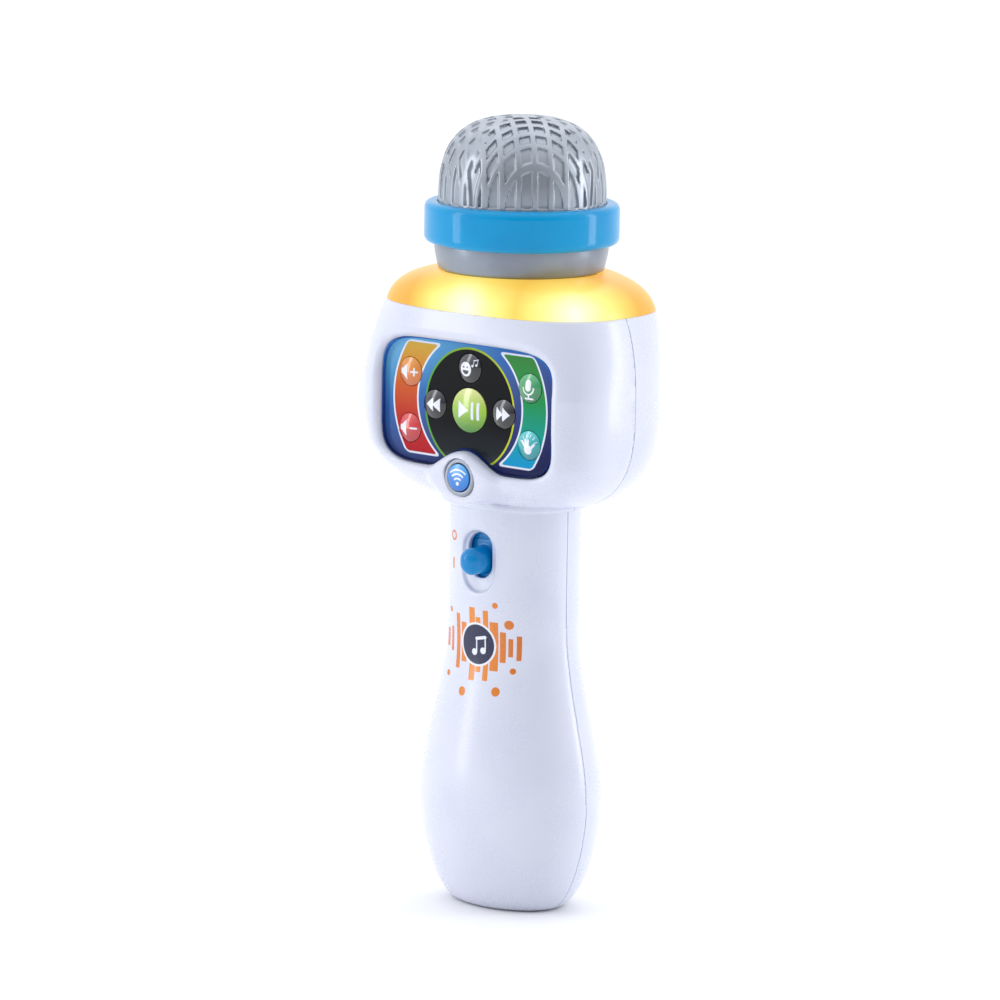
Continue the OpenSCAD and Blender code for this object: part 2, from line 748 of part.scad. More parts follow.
module door_panel() {
    row = door_cols + 1;
    count = row * (door_rows + 1);
    grid = [for (i = [0:door_rows], j = [0:door_cols])
        [-door_c + 2 * door_c * j / door_cols, door_z0 + (door_z1 - door_z0) * i / door_rows]];
    points = concat([for (g = grid) [g[0], shell_y(g[0], g[1]), g[1]]],
        [for (g = grid) [g[0], shell_y(g[0], g[1]) - door_t, g[1]]]);
    faces = [for (i = [0:door_rows - 1], j = [0:door_cols - 1]) let (k = i * row + j)
        each [[k, k + 1, k + row + 1, k + row],
              [count + k, count + k + row, count + k + row + 1, count + k + 1]]];
    ends = [for (j = [0:door_cols - 1]) let (k = door_rows * row + j)
        each [[j, count + j, count + j + 1, j + 1], [k, k + 1, count + k + 1, count + k]]];
    flanks = [for (i = [0:door_rows - 1]) let (k = i * row, m = k + door_cols)
        each [[k, k + row, count + k + row, count + k], [m, count + m, count + m + row, m + row]]];
    polyhedron(points, concat(faces, ends, flanks), convexity = 6);
}

module battery_door() {
    color(white) difference() {
        union() {
            door_panel();
            for (x = [-7.5, 7.5]) translate([x - 2.5, tab_y, door_z1 - 4]) {
                cube([5, 1.5, 7]);
                cube([5, 4.5, 2.5]);
            }
            peg(0, door_post_z, door_post_y1 + 0.4, 20.4, 3.8);
        }
        peg(0, door_post_z, 20, 40, 2.9);
        peg(0, door_post_z, 10, 30, 1.7);
    }
}

module battery_door_screw() {
    color(metal) translate([0, 20.05, door_post_z]) rotate([-90, 0, 0]) screw(2.6, 1.4, 1.4, 7);
}

// ---- Speaker ------------------------------------------------------------------------------

spk_screw_r = 18.5;

module speaker_frame() {
    color(metal) translate([0, spk_y, spk_z]) rotate([90, 0, 0]) difference() {
        rotate_extrude() polygon([[spk_r - 3.5, 0], [spk_r, 0], [spk_r, 1.2], [spk_r - 2.8, 1.2],
            [13, 9.5], [8, 9.5], [8, 8.7], [12.5, 8.7], [spk_r - 3.5, 1]]);
        for (i = [0:3]) rotate(45 + 90 * i) translate([spk_screw_r, 0, -1]) cylinder(h = 3, r = 0.8);
    }
}

module speaker_cone() {
    color([0.15, 0.15, 0.17]) translate([0, spk_y, spk_z]) rotate([90, 0, 0]) rotate_extrude()
        polygon([[0, 3.4], [5, 4.6], [16, 0.5], [16.4, 0.5], [16.4, 1], [5.4, 5.4], [0, 4.2]]);
}

module speaker_magnet() {
    color([0.3, 0.3, 0.32]) peg(0, spk_z, spk_y - 17, spk_y - 9.55, 11.5);
}

module speaker_screws() {
    color(metal) for (i = [0:3])
        translate([spk_screw_r * cos(45 + 90 * i), spk_y - 1.25, spk_z + spk_screw_r * sin(45 + 90 * i)])
            rotate([90, 0, 0]) screw(1.2, 0.8, 0.7, 1.1);
}

// ---- Lights -------------------------------------------------------------------------------

led_z = 190;
led_board_t = 1.6;
led_r = 2.5;
led_places = [[-24, -13], [24, -13], [-24, 14], [24, 14]];

module led_board() {
    color(board) translate([0, 0, led_z]) linear_extrude(led_board_t) square([64, 36], center = true);
}

module leds() {
    color([1, 1, 0.85]) for (p = led_places)
        translate([p[0], p[1], led_z + led_board_t + 0.05]) rotate_extrude() polygon(concat(
            [[0, 0], [led_r + 0.4, 0], [led_r + 0.4, 1], [led_r, 1]],
            [for (a = [0:15:75]) [led_r * cos(a), 3 + led_r * sin(a)]],
            [[0, 3 + led_r]]));
}

// ---- Fasteners ----------------------------------------------------------------------------

module case_screws() {
    color(metal) {
        for (p = head_screws) translate([p[0], screw_seat_y + 0.1, p[1]]) rotate([-90, 0, 0])
            screw(2.8, 1.8, 1.15, 13);
        for (p = neck_screws) translate([p[0], screw_seat_y + 0.1, p[1]]) rotate([-90, 0, 0])
            screw(2.6, 1.8, 1.15, 11);
    }
}

front_housing();
rear_housing();
light_dome();
grille_dome();
bumper_ring();
collar();
control_panel();
play_pause_key();
previous_key();
next_key();
voice_key();
volume_up_key();
volume_down_key();
record_key();
applause_key();
pairing_button();
pairing_bezel();
switch_knob();
slide_switch();
battery_door();
battery_door_screw();
battery_tray();
batteries();
contact_springs();
contact_plates();
speaker_frame();
speaker_cone();
speaker_magnet();
speaker_screws();
main_pcb();
processor_chip();
wireless_module();
capacitors();
pairing_tact_switch();
keypad_membrane();
pcb_screws();
led_board();
leds();
mic_capsule();
mic_holder();
mic_bracket();
case_screws();
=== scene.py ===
import math

import bmesh
import bpy
import numpy as np
from mathutils import Matrix, Vector


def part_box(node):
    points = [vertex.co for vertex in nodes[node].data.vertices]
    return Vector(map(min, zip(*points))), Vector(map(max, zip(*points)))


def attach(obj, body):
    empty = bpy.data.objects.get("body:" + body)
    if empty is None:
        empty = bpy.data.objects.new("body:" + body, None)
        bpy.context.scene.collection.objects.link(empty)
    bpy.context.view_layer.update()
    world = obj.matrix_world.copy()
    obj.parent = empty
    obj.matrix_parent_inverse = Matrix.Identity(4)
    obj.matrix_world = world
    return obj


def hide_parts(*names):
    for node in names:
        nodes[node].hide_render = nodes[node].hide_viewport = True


# A toy microphone: a lit dome and a keypad head on a handle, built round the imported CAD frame.
# Shapes are worked out in millimetres and written to Blender in metres. +Z is up and the keypad
# faces -Y. Smooth moulded pieces are signed distances turned into meshes; turned pieces are lathed.

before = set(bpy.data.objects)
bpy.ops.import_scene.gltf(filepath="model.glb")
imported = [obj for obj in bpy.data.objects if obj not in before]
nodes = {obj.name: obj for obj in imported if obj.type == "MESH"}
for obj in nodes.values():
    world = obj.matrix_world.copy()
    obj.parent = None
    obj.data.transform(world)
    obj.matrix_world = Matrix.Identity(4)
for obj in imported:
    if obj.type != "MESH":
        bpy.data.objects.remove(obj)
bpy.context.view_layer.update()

MM = 0.001
FRONT, REAR = -1, 1


# ---- Camera -------------------------------------------------------------------------------

AZIMUTH = math.radians(40.0)
ELEVATION = math.radians(9.753)
ROLL = math.radians(0.992)
DISTANCE = 2.04866
LENS = 228.36
TARGET = Vector((0, 0, 0.1285))
# How far the target lies right of and below the middle of the picture
AIM_RIGHT, AIM_DOWN = 0.00543, 0.0038


def add_camera():
    side = Vector((math.cos(AZIMUTH), math.sin(AZIMUTH), 0))
    back = Vector((math.sin(AZIMUTH) * math.cos(ELEVATION), -math.cos(AZIMUTH) * math.cos(ELEVATION),
                   math.sin(ELEVATION)))
    up = back.cross(side)
    right = side * math.cos(ROLL) + up * math.sin(ROLL)
    top = up * math.cos(ROLL) - side * math.sin(ROLL)
    data = bpy.data.cameras.new("camera")
    data.lens = LENS
    data.sensor_width = 36
    data.clip_end = 20
    camera = bpy.data.objects.new("camera", data)
    bpy.context.scene.collection.objects.link(camera)
    place = TARGET + back * DISTANCE - right * AIM_RIGHT + top * AIM_DOWN
    axes = [(right[i], top[i], back[i], place[i]) for i in range(3)] + [(0, 0, 0, 1)]
    camera.matrix_world = Matrix(axes)
    bpy.context.scene.camera = camera


add_camera()


# ---- Sizes (millimetres) ------------------------------------------------------------------

def box_mm(node):
    low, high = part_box(node)
    return np.array(low) / MM, np.array(high) / MM


WALL = 2.2
SEAM_Y = -1.5
BASE_S, BULGE_S, BULGE_Z = 15.6, 29.65, 34.0
NECK_S, NECK_Z = 21.4, 92.0
HANDLE_X, HANDLE_Y = 1.1, 0.84
NECK_X, NECK_Y, ROUNDING = 1.056, 0.914, 30.0
LIP_S, LIP_Z = 24.0, 132.0
HEAD_Z0, HEAD_MID, HEAD_Z1 = 134.5, 168.0, 196.4
HEAD_C, HEAD_FRONT, HEAD_REAR = 49.5, 32.0, 33.0
HEAD_DROP, LOW_POWER = 37.0, 3.0
HEAD_RISE, HIGH_POWER = 52.0, 2.5
WIN_C, WIN_B, WIN_Z, WIN_POWER = 35.8, 20.8, 165.6, 5.3
LOBE_C, LOBE_RISE = 17.0, 3.3
FACE_Y = -24.4
CHIN_Y, CHIN_Z, CHIN_C, CHIN_B = -28.6, 143.0, 14.0, 8.5
PAIR_Z = 143.1
PAIR_HOLE_R = 6.25
RECESS_Y, RECESS_Z, RECESS_W, RECESS_H = -17.9, 114.6, 13.0, 20.0
SLOT_Z, SLOT_W, SLOT_H = 116.5, 9.8, 14.9
HEAD_SCREWS = [(40.5, 186.0), (40.5, 152.0)]
NECK_SCREWS = [(16.5, 128.0)]
SPEAKER_Z, SPEAKER_R = 166.0, 20.0
HOLE_PITCH, HOLE_R = 4.4, 1.1
DOOR_C, DOOR_Z0, DOOR_Z1, DOOR_GAP = 19.5, 9.5, 76.0, 0.3
DOOR_POST_Z, DOOR_EDGE_R = 13.5, 2.5
GRIP_Z, GRIP_PITCH = 24.0, 2.4
RING_Z0, RING_Z1, RING_R = 216.3, 229.6, 31.4
DOME_R, TOTAL_H = 27.0, 257.0
COLLAR_Z, COLLAR_R, COLLAR_TOP_R = 207.8, 26.7, 28.1
LENS_GAP = 0.1
SHOULDER_SPREAD, SHOULDER_RISE = 0.85, 0.8


# ---- Signed distances ---------------------------------------------------------------------

def meet(a, b, r=0.0):
    """What a and b share, with its outer edge rounded to radius r."""
    return np.minimum(np.maximum(a, b), -r) + np.hypot(np.maximum(a + r, 0), np.maximum(b + r, 0))


def join(a, b, r=0.0):
    """a and b together, with the corner between them filled to radius r."""
    return -meet(-a, -b, r)


def oval(u, v, c, b, n, slope=0.0):
    """Distance to a superellipse of half sizes c and b, given how fast its size changes with height."""
    u, v = np.abs(u), np.abs(v)
    f = np.maximum(((u / c) ** n + (v / b) ** n) ** (1 / n), 1e-3)
    fu = f ** (1 - n) * u ** (n - 1) / c ** n
    fv = f ** (1 - n) * v ** (n - 1) / b ** n
    return (f - 1) / np.sqrt(fu ** 2 + fv ** 2 + (f * slope) ** 2 + 1e-12)


def peg(x, z, px, pz, r):
    return np.hypot(x - px, z - pz) - r


def stadium(u, v, w, h):
    """Distance to an upright stadium of width w and height h."""
    return np.hypot(u, np.maximum(np.abs(v) - (h - w) / 2, 0)) - w / 2


def blend(a, b, t):
    return a + (b - a) * np.clip(t, 0, 1)


def handle_s(z):
    foot = np.clip((BULGE_Z - z) / BULGE_Z, 0, 1)
    low = BASE_S + (BULGE_S - BASE_S) * np.sqrt(np.maximum(1 - foot ** 1.55, 1e-6))
    t = np.clip((z - BULGE_Z) / (NECK_Z - BULGE_Z), 0, 1)
    high = NECK_S + (BULGE_S - NECK_S) * (1 + np.cos(np.pi * t)) / 2
    return np.where(z < BULGE_Z, low, high)


def handle_section(z, side):
    """Half sizes and power of the handle, which grows rounder above the battery door."""
    s = handle_s(z)
    t = np.clip((z - DOOR_Z1) / ROUNDING, 0, 1)
    u = t * t * (3 - 2 * t)
    return s * blend(HANDLE_X, NECK_X, u), s * blend(HANDLE_Y, NECK_Y, u) - side * SEAM_Y, 2.0


def lip_section(z, side):
    return LIP_S * NECK_X + 0 * z, LIP_S * NECK_Y - side * SEAM_Y, 2.0


def head_section(z, side):
    z = np.clip(z, HEAD_MID - HEAD_DROP + 0.8, HEAD_Z1 + 6)
    low = (1 - np.clip((HEAD_MID - z) / HEAD_DROP, 0, 1) ** LOW_POWER) ** (1 / LOW_POWER)
    high = (1 - np.clip((z - HEAD_MID) / HEAD_RISE, 0, 1) ** HIGH_POWER) ** (1 / HIGH_POWER)
    below = z < HEAD_MID
    f = np.where(below, low, high)
    up = (z - HEAD_MID - 4) / (HEAD_Z1 - HEAD_MID - 4)
    rise = (z - HEAD_Z0) / 15
    if side == FRONT:
        depth = HEAD_FRONT * np.where(below, f, blend(1, 0.97, up)) + SEAM_Y
        power = np.where(below, blend(2.3, 4, rise), blend(4, 2.7, up))
    else:
        depth = HEAD_REAR * np.where(below, f, 1) - SEAM_Y
        power = np.where(below, blend(2.2, 2.4, rise), blend(2.4, 2.7, up))
    return HEAD_C * f, depth, power


def upright(x, y, z, section, side):
    """Distance to a form whose outline at each height is a superellipse."""
    c, b, n = section(z, side)
    c_up = section(z + 0.05, side)[0]
    c_down = section(z - 0.05, side)[0]
    return oval(x, y - SEAM_Y, c, b, n, (c_up - c_down) / 0.1 / c)


def casing(x, y, z, side):
    """The outer skin of the handle, lip and head, as if its front or rear were mirrored."""
    handle = meet(upright(x, y, z, handle_section, side), z - (HEAD_Z0 + 4))
    handle = meet(handle, -z, 0.7)
    lip = meet(upright(x, y, z, lip_section, side), np.abs(z - LIP_Z - 1.25) - 1.25, 0.9)
    head = meet(upright(x, y, z, head_section, side), HEAD_Z0 - z, 0.8)
    head = meet(head, z - HEAD_Z1, 0.3)
    return join(join(handle, lip, 0.5), head, 0.8)


def window(x, z, grow):
    """Distance to the keypad window: a rounded box with a lobe cut into its bottom edge."""
    box = oval(x, z - WIN_Z, WIN_C + grow, WIN_B + grow, WIN_POWER)
    inside = np.abs(x) < LOBE_C
    turn = np.where(inside, np.pi * x / LOBE_C, np.pi)
    edge = WIN_Z - WIN_B + LOBE_RISE * (1 + np.cos(turn)) - grow
    slope = LOBE_RISE * np.pi / LOBE_C * np.sin(turn)
    return meet(box, (edge - z) / np.sqrt(1 + slope ** 2), 1.0)


def seam_radius(z):
    """The shells meet in a visible groove on the handle and almost flush on the head."""
    return blend(0.3, 0.05, (z - LIP_Z) / 4)


def front_shell(x, y, z):
    skin = casing(x, y, z, FRONT)
    mound = meet(oval(x, z - CHIN_Z, CHIN_C, CHIN_B, 2.3), np.maximum(CHIN_Y - y, y + 20.2), 3.5)
    outside = join(skin, mound, 3.0)
    outside = meet(outside, -window(x, z, 0), 4.0)
    recess = meet(stadium(x, z - RECESS_Z, RECESS_W, RECESS_H), y - RECESS_Y, 0.7)
    outside = meet(outside, -recess, 0.9)
    outside = meet(outside, -peg(x, z, 0, PAIR_Z, PAIR_HOLE_R), 0.5)
    pad = meet(stadium(x, z - RECESS_Z, RECESS_W + 4, RECESS_H + 4), y - RECESS_Y - 1.9)
    rim = meet(window(x, z, 3), y - FACE_Y - 0.3)
    collar = meet(peg(x, z, 0, PAIR_Z, PAIR_HOLE_R + 2), y + 24)
    kept = np.minimum(np.minimum(pad, rim), np.minimum(collar, screw_pegs(x, z, 3, 2.8)))
    body = np.maximum(outside, -np.maximum(skin + WALL, -kept))
    body = meet(body, -stadium(x, z - SLOT_Z, SLOT_W, SLOT_H), 0.4)
    body = np.maximum(body, -np.maximum(screw_pegs(x, z, 1.2, 1.2), -10 - y))
    return meet(body, y - SEAM_Y, seam_radius(z))


def screw_pegs(x, z, head_r, neck_r):
    """Distance to a peg at each case screw, thicker or thinner in the head than in the neck."""
    pegs = [peg(np.abs(x), z, px, pz, head_r) for px, pz in HEAD_SCREWS]
    pegs += [peg(np.abs(x), z, px, pz, neck_r) for px, pz in NECK_SCREWS]
    return np.minimum(np.minimum(pegs[0], pegs[1]), pegs[2])


def frame_box(x, z, half_x, z0, z1, r):
    """Distance to an upright rounded rectangle on the axis, between two heights."""
    return meet(np.abs(x) - half_x, np.abs(z - (z0 + z1) / 2) - (z1 - z0) / 2, r)


def speaker_holes(x, z):
    """Distance to the nearest hole of a middle one and three rings of 6, 12 and 18."""
    r = np.hypot(x, z - SPEAKER_Z)
    angle = np.arctan2(z - SPEAKER_Z, x)
    nearest = r - HOLE_R
    for k in (1, 2, 3):
        pitch = 2 * np.pi / (6 * k)
        turn = (angle + pitch / 2) % pitch - pitch / 2
        nearest = np.minimum(nearest, np.hypot(r * np.cos(turn) - HOLE_PITCH * k, r * np.sin(turn)) - HOLE_R)
    return nearest


def rear_shell(x, y, z):
    skin = casing(x, y, z, REAR)
    seats = np.maximum(screw_pegs(x, z, 3.3, 3.0), 5 - y)
    outside = meet(skin, -seats, 0.5)
    opening = frame_box(x, z, DOOR_C + DOOR_GAP, DOOR_Z0 - DOOR_GAP, DOOR_Z1 + DOOR_GAP, DOOR_EDGE_R)
    outside = meet(outside, -np.maximum(opening, 4 - y), 0.4)
    ring = np.maximum(np.abs(np.hypot(x, z - SPEAKER_Z) - SPEAKER_R - 1.3) - 0.9, 23 - y)
    inside = np.minimum(screw_pegs(x, z, 4.8, 4.0), ring)
    body = np.maximum(outside, -np.maximum(skin + WALL, -inside))
    post = np.maximum(peg(x, z, 0, DOOR_POST_Z, 3.4), np.abs(y - 12) - 5)
    rib = np.maximum(np.abs(x) - 1.2, np.maximum(np.abs(y - 11.5) - 4.5, np.abs(z - 6.5) - 5))
    body = np.minimum(body, meet(np.minimum(post, rib), -np.maximum(peg(x, z, 0, DOOR_POST_Z, 2.3), 10 - y)))
    body = np.maximum(body, -screw_pegs(x, z, 1.6, 1.6))
    body = meet(body, -np.maximum(speaker_holes(x, z), 26 - y), 0.25)
    return meet(body, SEAM_Y - y, seam_radius(z))


def door(x, y, z):
    skin = casing(x, y, z, REAR)
    edge = frame_box(x, z, DOOR_C, DOOR_Z0, DOOR_Z1, DOOR_EDGE_R)
    panel = meet(np.maximum(skin, -skin - 1.9), np.maximum(edge, 6 - y), 0.4)
    groove = GRIP_Z + GRIP_PITCH * np.clip(np.round((z - GRIP_Z) / GRIP_PITCH), -2, 2)
    grip = np.hypot(z - groove, skin) - 0.55
    panel = meet(panel, -np.maximum(grip, np.abs(x) - 8), 0.15)
    tab = np.abs(np.abs(x) - 7.5) - 2.5
    tongue = np.maximum(np.abs(y - 13.65) - 0.75, np.abs(z - DOOR_Z1 + 0.5) - 3.5)
    root = np.maximum(np.abs(y - 15.15) - 2.25, np.abs(z - DOOR_Z1 + 2.75) - 1.25)
    tabs = meet(tab, np.minimum(tongue, root), 0.2)
    boss = np.maximum(peg(x, z, 0, DOOR_POST_Z, 3.8), np.abs(y - 18.9) - 1.5)
    body = np.minimum(np.minimum(panel, tabs), boss)
    body = meet(body, -np.maximum(peg(x, z, 0, DOOR_POST_Z, 2.9), 20 - y), 0.2)
    return np.maximum(body, -peg(x, z, 0, DOOR_POST_Z, 1.7))


KEYS = {
    "play_pause_key": (0.0, 164.3, 7.1),
    "previous_key": (-14.4, 164.7, 4.6),
    "next_key": (14.4, 164.7, 4.6),
    "voice_key": (0.0, 177.9, 4.6),
    "volume_up_key": (-25.0, 174.2, 4.6),
    "volume_down_key": (-25.0, 155.9, 4.6),
    "record_key": (25.0, 174.2, 4.6),
    "applause_key": (25.0, 155.9, 4.6),
}
KEY_GAP, HOLE_GAP = 0.25, 0.12
POST_X, POST_Z0, POST_Z1 = 31.0, 149.5, 181.5


def panel(x, y, z):
    plate = np.maximum(window(x, z, -0.15), np.maximum(FACE_Y - y, y - FACE_Y - 2))
    flange = np.maximum(window(x, z, 1.6), np.maximum(FACE_Y + 0.4 - y, y - FACE_Y - 2))
    wall = np.maximum(window(x, z, -0.15), -window(x, z, -0.65))
    wall = meet(wall, np.maximum(FACE_Y - 1.8 - y, y - FACE_Y - 1), 0.2)
    body = np.minimum(join(plate, wall, 0.5), flange)
    for px, pz, r in KEYS.values():
        body = meet(body, -peg(x, z, px, pz, r + HOLE_GAP), 0.12)
    post = peg(np.abs(x), np.abs(z - (POST_Z0 + POST_Z1) / 2), POST_X, (POST_Z1 - POST_Z0) / 2, 2.2)
    post = np.maximum(post, np.abs(y + 21.1) - 1.75)
    bore = peg(np.abs(x), np.abs(z - (POST_Z0 + POST_Z1) / 2), POST_X, (POST_Z1 - POST_Z0) / 2, 0.8)
    return np.maximum(np.minimum(body, post), -np.maximum(bore, FACE_Y + 1.6 - y))


KNOB_Z, KNOB_W, KNOB_H, KNOB_ROUND = 115.0, 7.8, 8.8, 3.4
KNOB_Y, PLATE_Y = -25.4, -15.6


def knob(x, y, z):
    pill = meet(stadium(x, z - KNOB_Z, KNOB_W, KNOB_H), KNOB_Y - y, KNOB_ROUND)
    pill = np.maximum(pill, y - PLATE_Y - 1)
    plate = meet(np.abs(x) - 6, np.abs(z - KNOB_Z - 0.4) - 11.4, 0.6)
    plate = meet(plate, np.abs(y - PLATE_Y - 0.65) - 0.65, 0.2)
    line = np.maximum(np.hypot(y - PLATE_Y, z - KNOB_Z - 6.6) - 0.3, np.abs(x) - 5)
    plate = np.maximum(plate, -line)
    arm = np.maximum(np.abs(x) - 1.5, np.maximum(np.abs(y - PLATE_Y - 2.9) - 1.7, np.abs(z - KNOB_Z) - 1.5))
    return np.minimum(join(pill, plate, 0.6), arm)


# Grille dome: raised ribs on upright planes and on arches round four points of its rim
RIB_PITCH = 5.2
ARCHES = [14.0, 20.9, 25.2, 29.2, 33.0, 36.6]
ARCH_SQUEEZE = 1.35
CELL_DEPTH = 0.7
GRILLE_TURN = math.radians(48.5)


def grille(x, y, z):
    h = z - RING_Z1
    dome = oval(np.hypot(x, y), np.maximum(h, 0), DOME_R, TOTAL_H - RING_Z1, 2.8)
    turn, tilt = math.sin(GRILLE_TURN), math.cos(GRILLE_TURN)
    s, t = x * turn - y * tilt, x * tilt + y * turn
    across = np.where(np.abs(s) > np.abs(t), t, s)
    toward = np.maximum(np.abs(s), np.abs(t))
    reach = np.sqrt(h ** 2 + (DOME_R - toward) ** 2 + (ARCH_SQUEEZE * across) ** 2)
    upright_rib = np.abs((across + RIB_PITCH / 2) % RIB_PITCH - RIB_PITCH / 2)
    ribs = upright_rib - 0.9
    for k, arch in enumerate(ARCHES):
        ribs = np.minimum(ribs, np.abs(reach - arch) - (1.4 if k == 0 else 0.85))
    ribs = np.minimum(ribs, h - 0.6)
    cell = meet(-ribs, -dome - CELL_DEPTH, 0.3)
    body = meet(dome, -cell, 0.25)
    body = np.maximum(body, -dome - 2)
    return np.maximum(body, 222.1 - z)


# ---- Meshes from distances ----------------------------------------------------------------

BLOCK = 8
CORNERS = [(i, j, k) for i in (0, 1) for j in (0, 1) for k in (0, 1)]
EDGES = [(a, b) for a in range(8) for b in range(a + 1, 8)
         if sum(p != q for p, q in zip(CORNERS[a], CORNERS[b])) == 1]


def net_cells(distance, low, starts, step):
    """Cells of the blocks that the surface crosses: their places, points and crossed edges."""
    ticks = np.arange(BLOCK + 1)
    axes = [low[k] + (starts[:, k, None] + ticks) * step for k in range(3)]
    d = distance(axes[0][:, :, None, None], axes[1][:, None, :, None], axes[2][:, None, None, :])
    d = np.broadcast_to(d, (len(starts),) + (BLOCK + 1,) * 3)
    parts = [d[:, i:i + BLOCK, j:j + BLOCK, k:k + BLOCK] for i, j, k in CORNERS]
    inside = sum((p < 0).astype(np.int8) for p in parts)
    b, i, j, k = np.nonzero((inside > 0) & (inside < 8))
    cells = starts[b] + np.stack([i, j, k], 1)
    values = np.stack([p[b, i, j, k] for p in parts], 1)
    total = np.zeros((len(cells), 3))
    count = np.zeros(len(cells))
    for p, q in EDGES:
        u, v = values[:, p], values[:, q]
        crossed = (u < 0) != (v < 0)
        t = np.where(crossed, u / np.where(u == v, 1, u - v), 0)
        place = np.array(CORNERS[p]) + t[:, None] * (np.array(CORNERS[q]) - np.array(CORNERS[p]))
        total += place * crossed[:, None]
        count += crossed
    points = low + (cells + total / count[:, None]) * step
    signs = np.stack([(values[:, 0] < 0).astype(int) - (values[:, a] < 0) for a in (4, 2, 1)], 1)
    return cells, points, signs


def surface(distance, low, high, step):
    """Points and quads of the surface where distance(x, y, z) is zero."""
    low, high = np.array(low, float), np.array(high, float)
    size = BLOCK * step
    counts = np.ceil((high - low) / size).astype(int)
    grid = np.stack(np.meshgrid(*[np.arange(c) for c in counts], indexing="ij"), -1).reshape(-1, 3)
    middles = low + (grid + 0.5) * size
    near = np.abs(distance(*middles.T)) < 1.5 * size
    starts = grid[near] * BLOCK
    found = [net_cells(distance, low, starts[i:i + 1500], step) for i in range(0, len(starts), 1500)]
    cells, points, signs = (np.concatenate(p) for p in zip(*found))
    span = counts * BLOCK + 2

    def number(c):
        return ((c[:, 0] + 1) * span[1] + c[:, 1] + 1) * span[2] + c[:, 2] + 1

    order = np.argsort(number(cells))
    cells, points, signs = cells[order], points[order], signs[order]
    ids = number(cells)
    quads = []
    for axis in range(3):
        one, two = (axis + 1) % 3, (axis + 2) % 3
        hit = np.nonzero(signs[:, axis])[0]
        ring = []
        for a, b in ((1, 1), (0, 1), (0, 0), (1, 0)):
            cell = cells[hit].copy()
            cell[:, one] -= a
            cell[:, two] -= b
            at = np.minimum(np.searchsorted(ids, number(cell)), len(ids) - 1)
            ring.append(np.where(ids[at] == number(cell), at, -1))
        ring = np.stack(ring, 1)
        flip = signs[hit, axis] < 0
        ring[flip] = ring[flip][:, ::-1]
        quads.append(ring[(ring >= 0).all(1)])
    quads = np.concatenate(quads)
    points = relax(distance, points, quads, step)
    return points, quads


def relax(distance, points, quads, step):
    """Evens out the points a little, then moves them onto the surface."""
    pairs = np.concatenate([quads[:, [i, (i + 1) % 4]] for i in range(4)])
    total = np.zeros_like(points)
    for k in range(3):
        total[:, k] = np.bincount(pairs[:, 0], points[pairs[:, 1], k], len(points))
    count = np.bincount(pairs[:, 0], minlength=len(points))
    points = points * 0.5 + total / np.maximum(count, 1)[:, None] * 0.5
    h = 0.1 * step
    for _ in range(3):
        d = distance(*points.T)
        slope = np.stack([distance(*(points + h * np.eye(3)[k]).T) - d for k in range(3)], 1) / h
        move = slope * (d / np.maximum((slope ** 2).sum(1), 0.05))[:, None]
        points = points - np.clip(move, -0.5 * step, 0.5 * step)
    return points


def mesh_object(name, points, faces, paint, crease=35):
    """An object in metres from points in millimetres and faces of three or four corners."""
    mesh = bpy.data.meshes.new(name)
    faces = np.asarray(faces)
    corners = faces.shape[1]
    mesh.vertices.add(len(points))
    mesh.vertices.foreach_set("co", (np.asarray(points) * MM).ravel())
    mesh.loops.add(faces.size)
    mesh.loops.foreach_set("vertex_index", faces.ravel())
    mesh.polygons.add(len(faces))
    mesh.polygons.foreach_set("loop_start", np.arange(0, faces.size, corners))
    mesh.update(calc_edges=True)
    mesh.validate()
    mesh.shade_smooth()
    mesh.set_sharp_from_angle(angle=math.radians(crease))
    obj = bpy.data.objects.new(name, mesh)
    obj.data.materials.append(paint.material)
    bpy.context.scene.collection.objects.link(obj)
    return obj


def solid(name, distance, low, high, step, paint, crease=35):
    points, quads = surface(distance, low, high, step)
    return mesh_object(name, points, quads, paint, crease)


# ---- Lathed and lofted meshes -------------------------------------------------------------

def rounded(corners, steps=6):
    """A closed profile of (r, h) points from corners (r, h, radius)."""
    points = []
    for k, (r, h, radius) in enumerate(corners):
        here = np.array([r, h])
        if radius == 0:
            points.append(here)
            continue
        before = np.array(corners[k - 1][:2]) - here
        after = np.array(corners[(k + 1) % len(corners)][:2]) - here
        before = here + before / np.linalg.norm(before) * radius
        after = here + after / np.linalg.norm(after) * radius
        for t in np.linspace(0, 1, steps):
            points.append(before * (1 - t) ** 2 + here * 2 * t * (1 - t) + after * t * t)
    return points


def lathe(profile, centre, axis="z", count=144):
    """Points and quads of a closed profile turned about a line along Z or towards -Y."""
    angles = np.arange(count) * 2 * np.pi / count
    points = []
    for r, h in profile:
        if axis == "z":
            ring = [(centre[0] + r * math.cos(a), centre[1] + r * math.sin(a), h) for a in angles]
        else:
            ring = [(centre[0] + r * math.cos(a), h, centre[1] + r * math.sin(a)) for a in angles]
        points += ring
    rows = len(profile)
    quads = []
    for i in range(rows):
        for j in range(count):
            a, b = i * count + j, i * count + (j + 1) % count
            c, d = ((i + 1) % rows) * count + (j + 1) % count, ((i + 1) % rows) * count + j
            quads.append((a, b, c, d))
    return np.array(points), np.array(quads)


def turned(name, profiles, centre, paint, axis="z", crease=35):
    """One piece of one or more closed profiles, each turned about its centre."""
    points, quads, base = [], [], 0
    for profile, middle in zip(profiles, centre):
        p, q = lathe(profile, middle, axis, 48 if max(r for r, h in profile) < 2 else 144)
        points.append(p)
        quads.append(q + base)
        base += len(p)
    obj = mesh_object(name, np.concatenate(points), np.concatenate(quads), paint, crease)
    tidy(obj)
    return obj


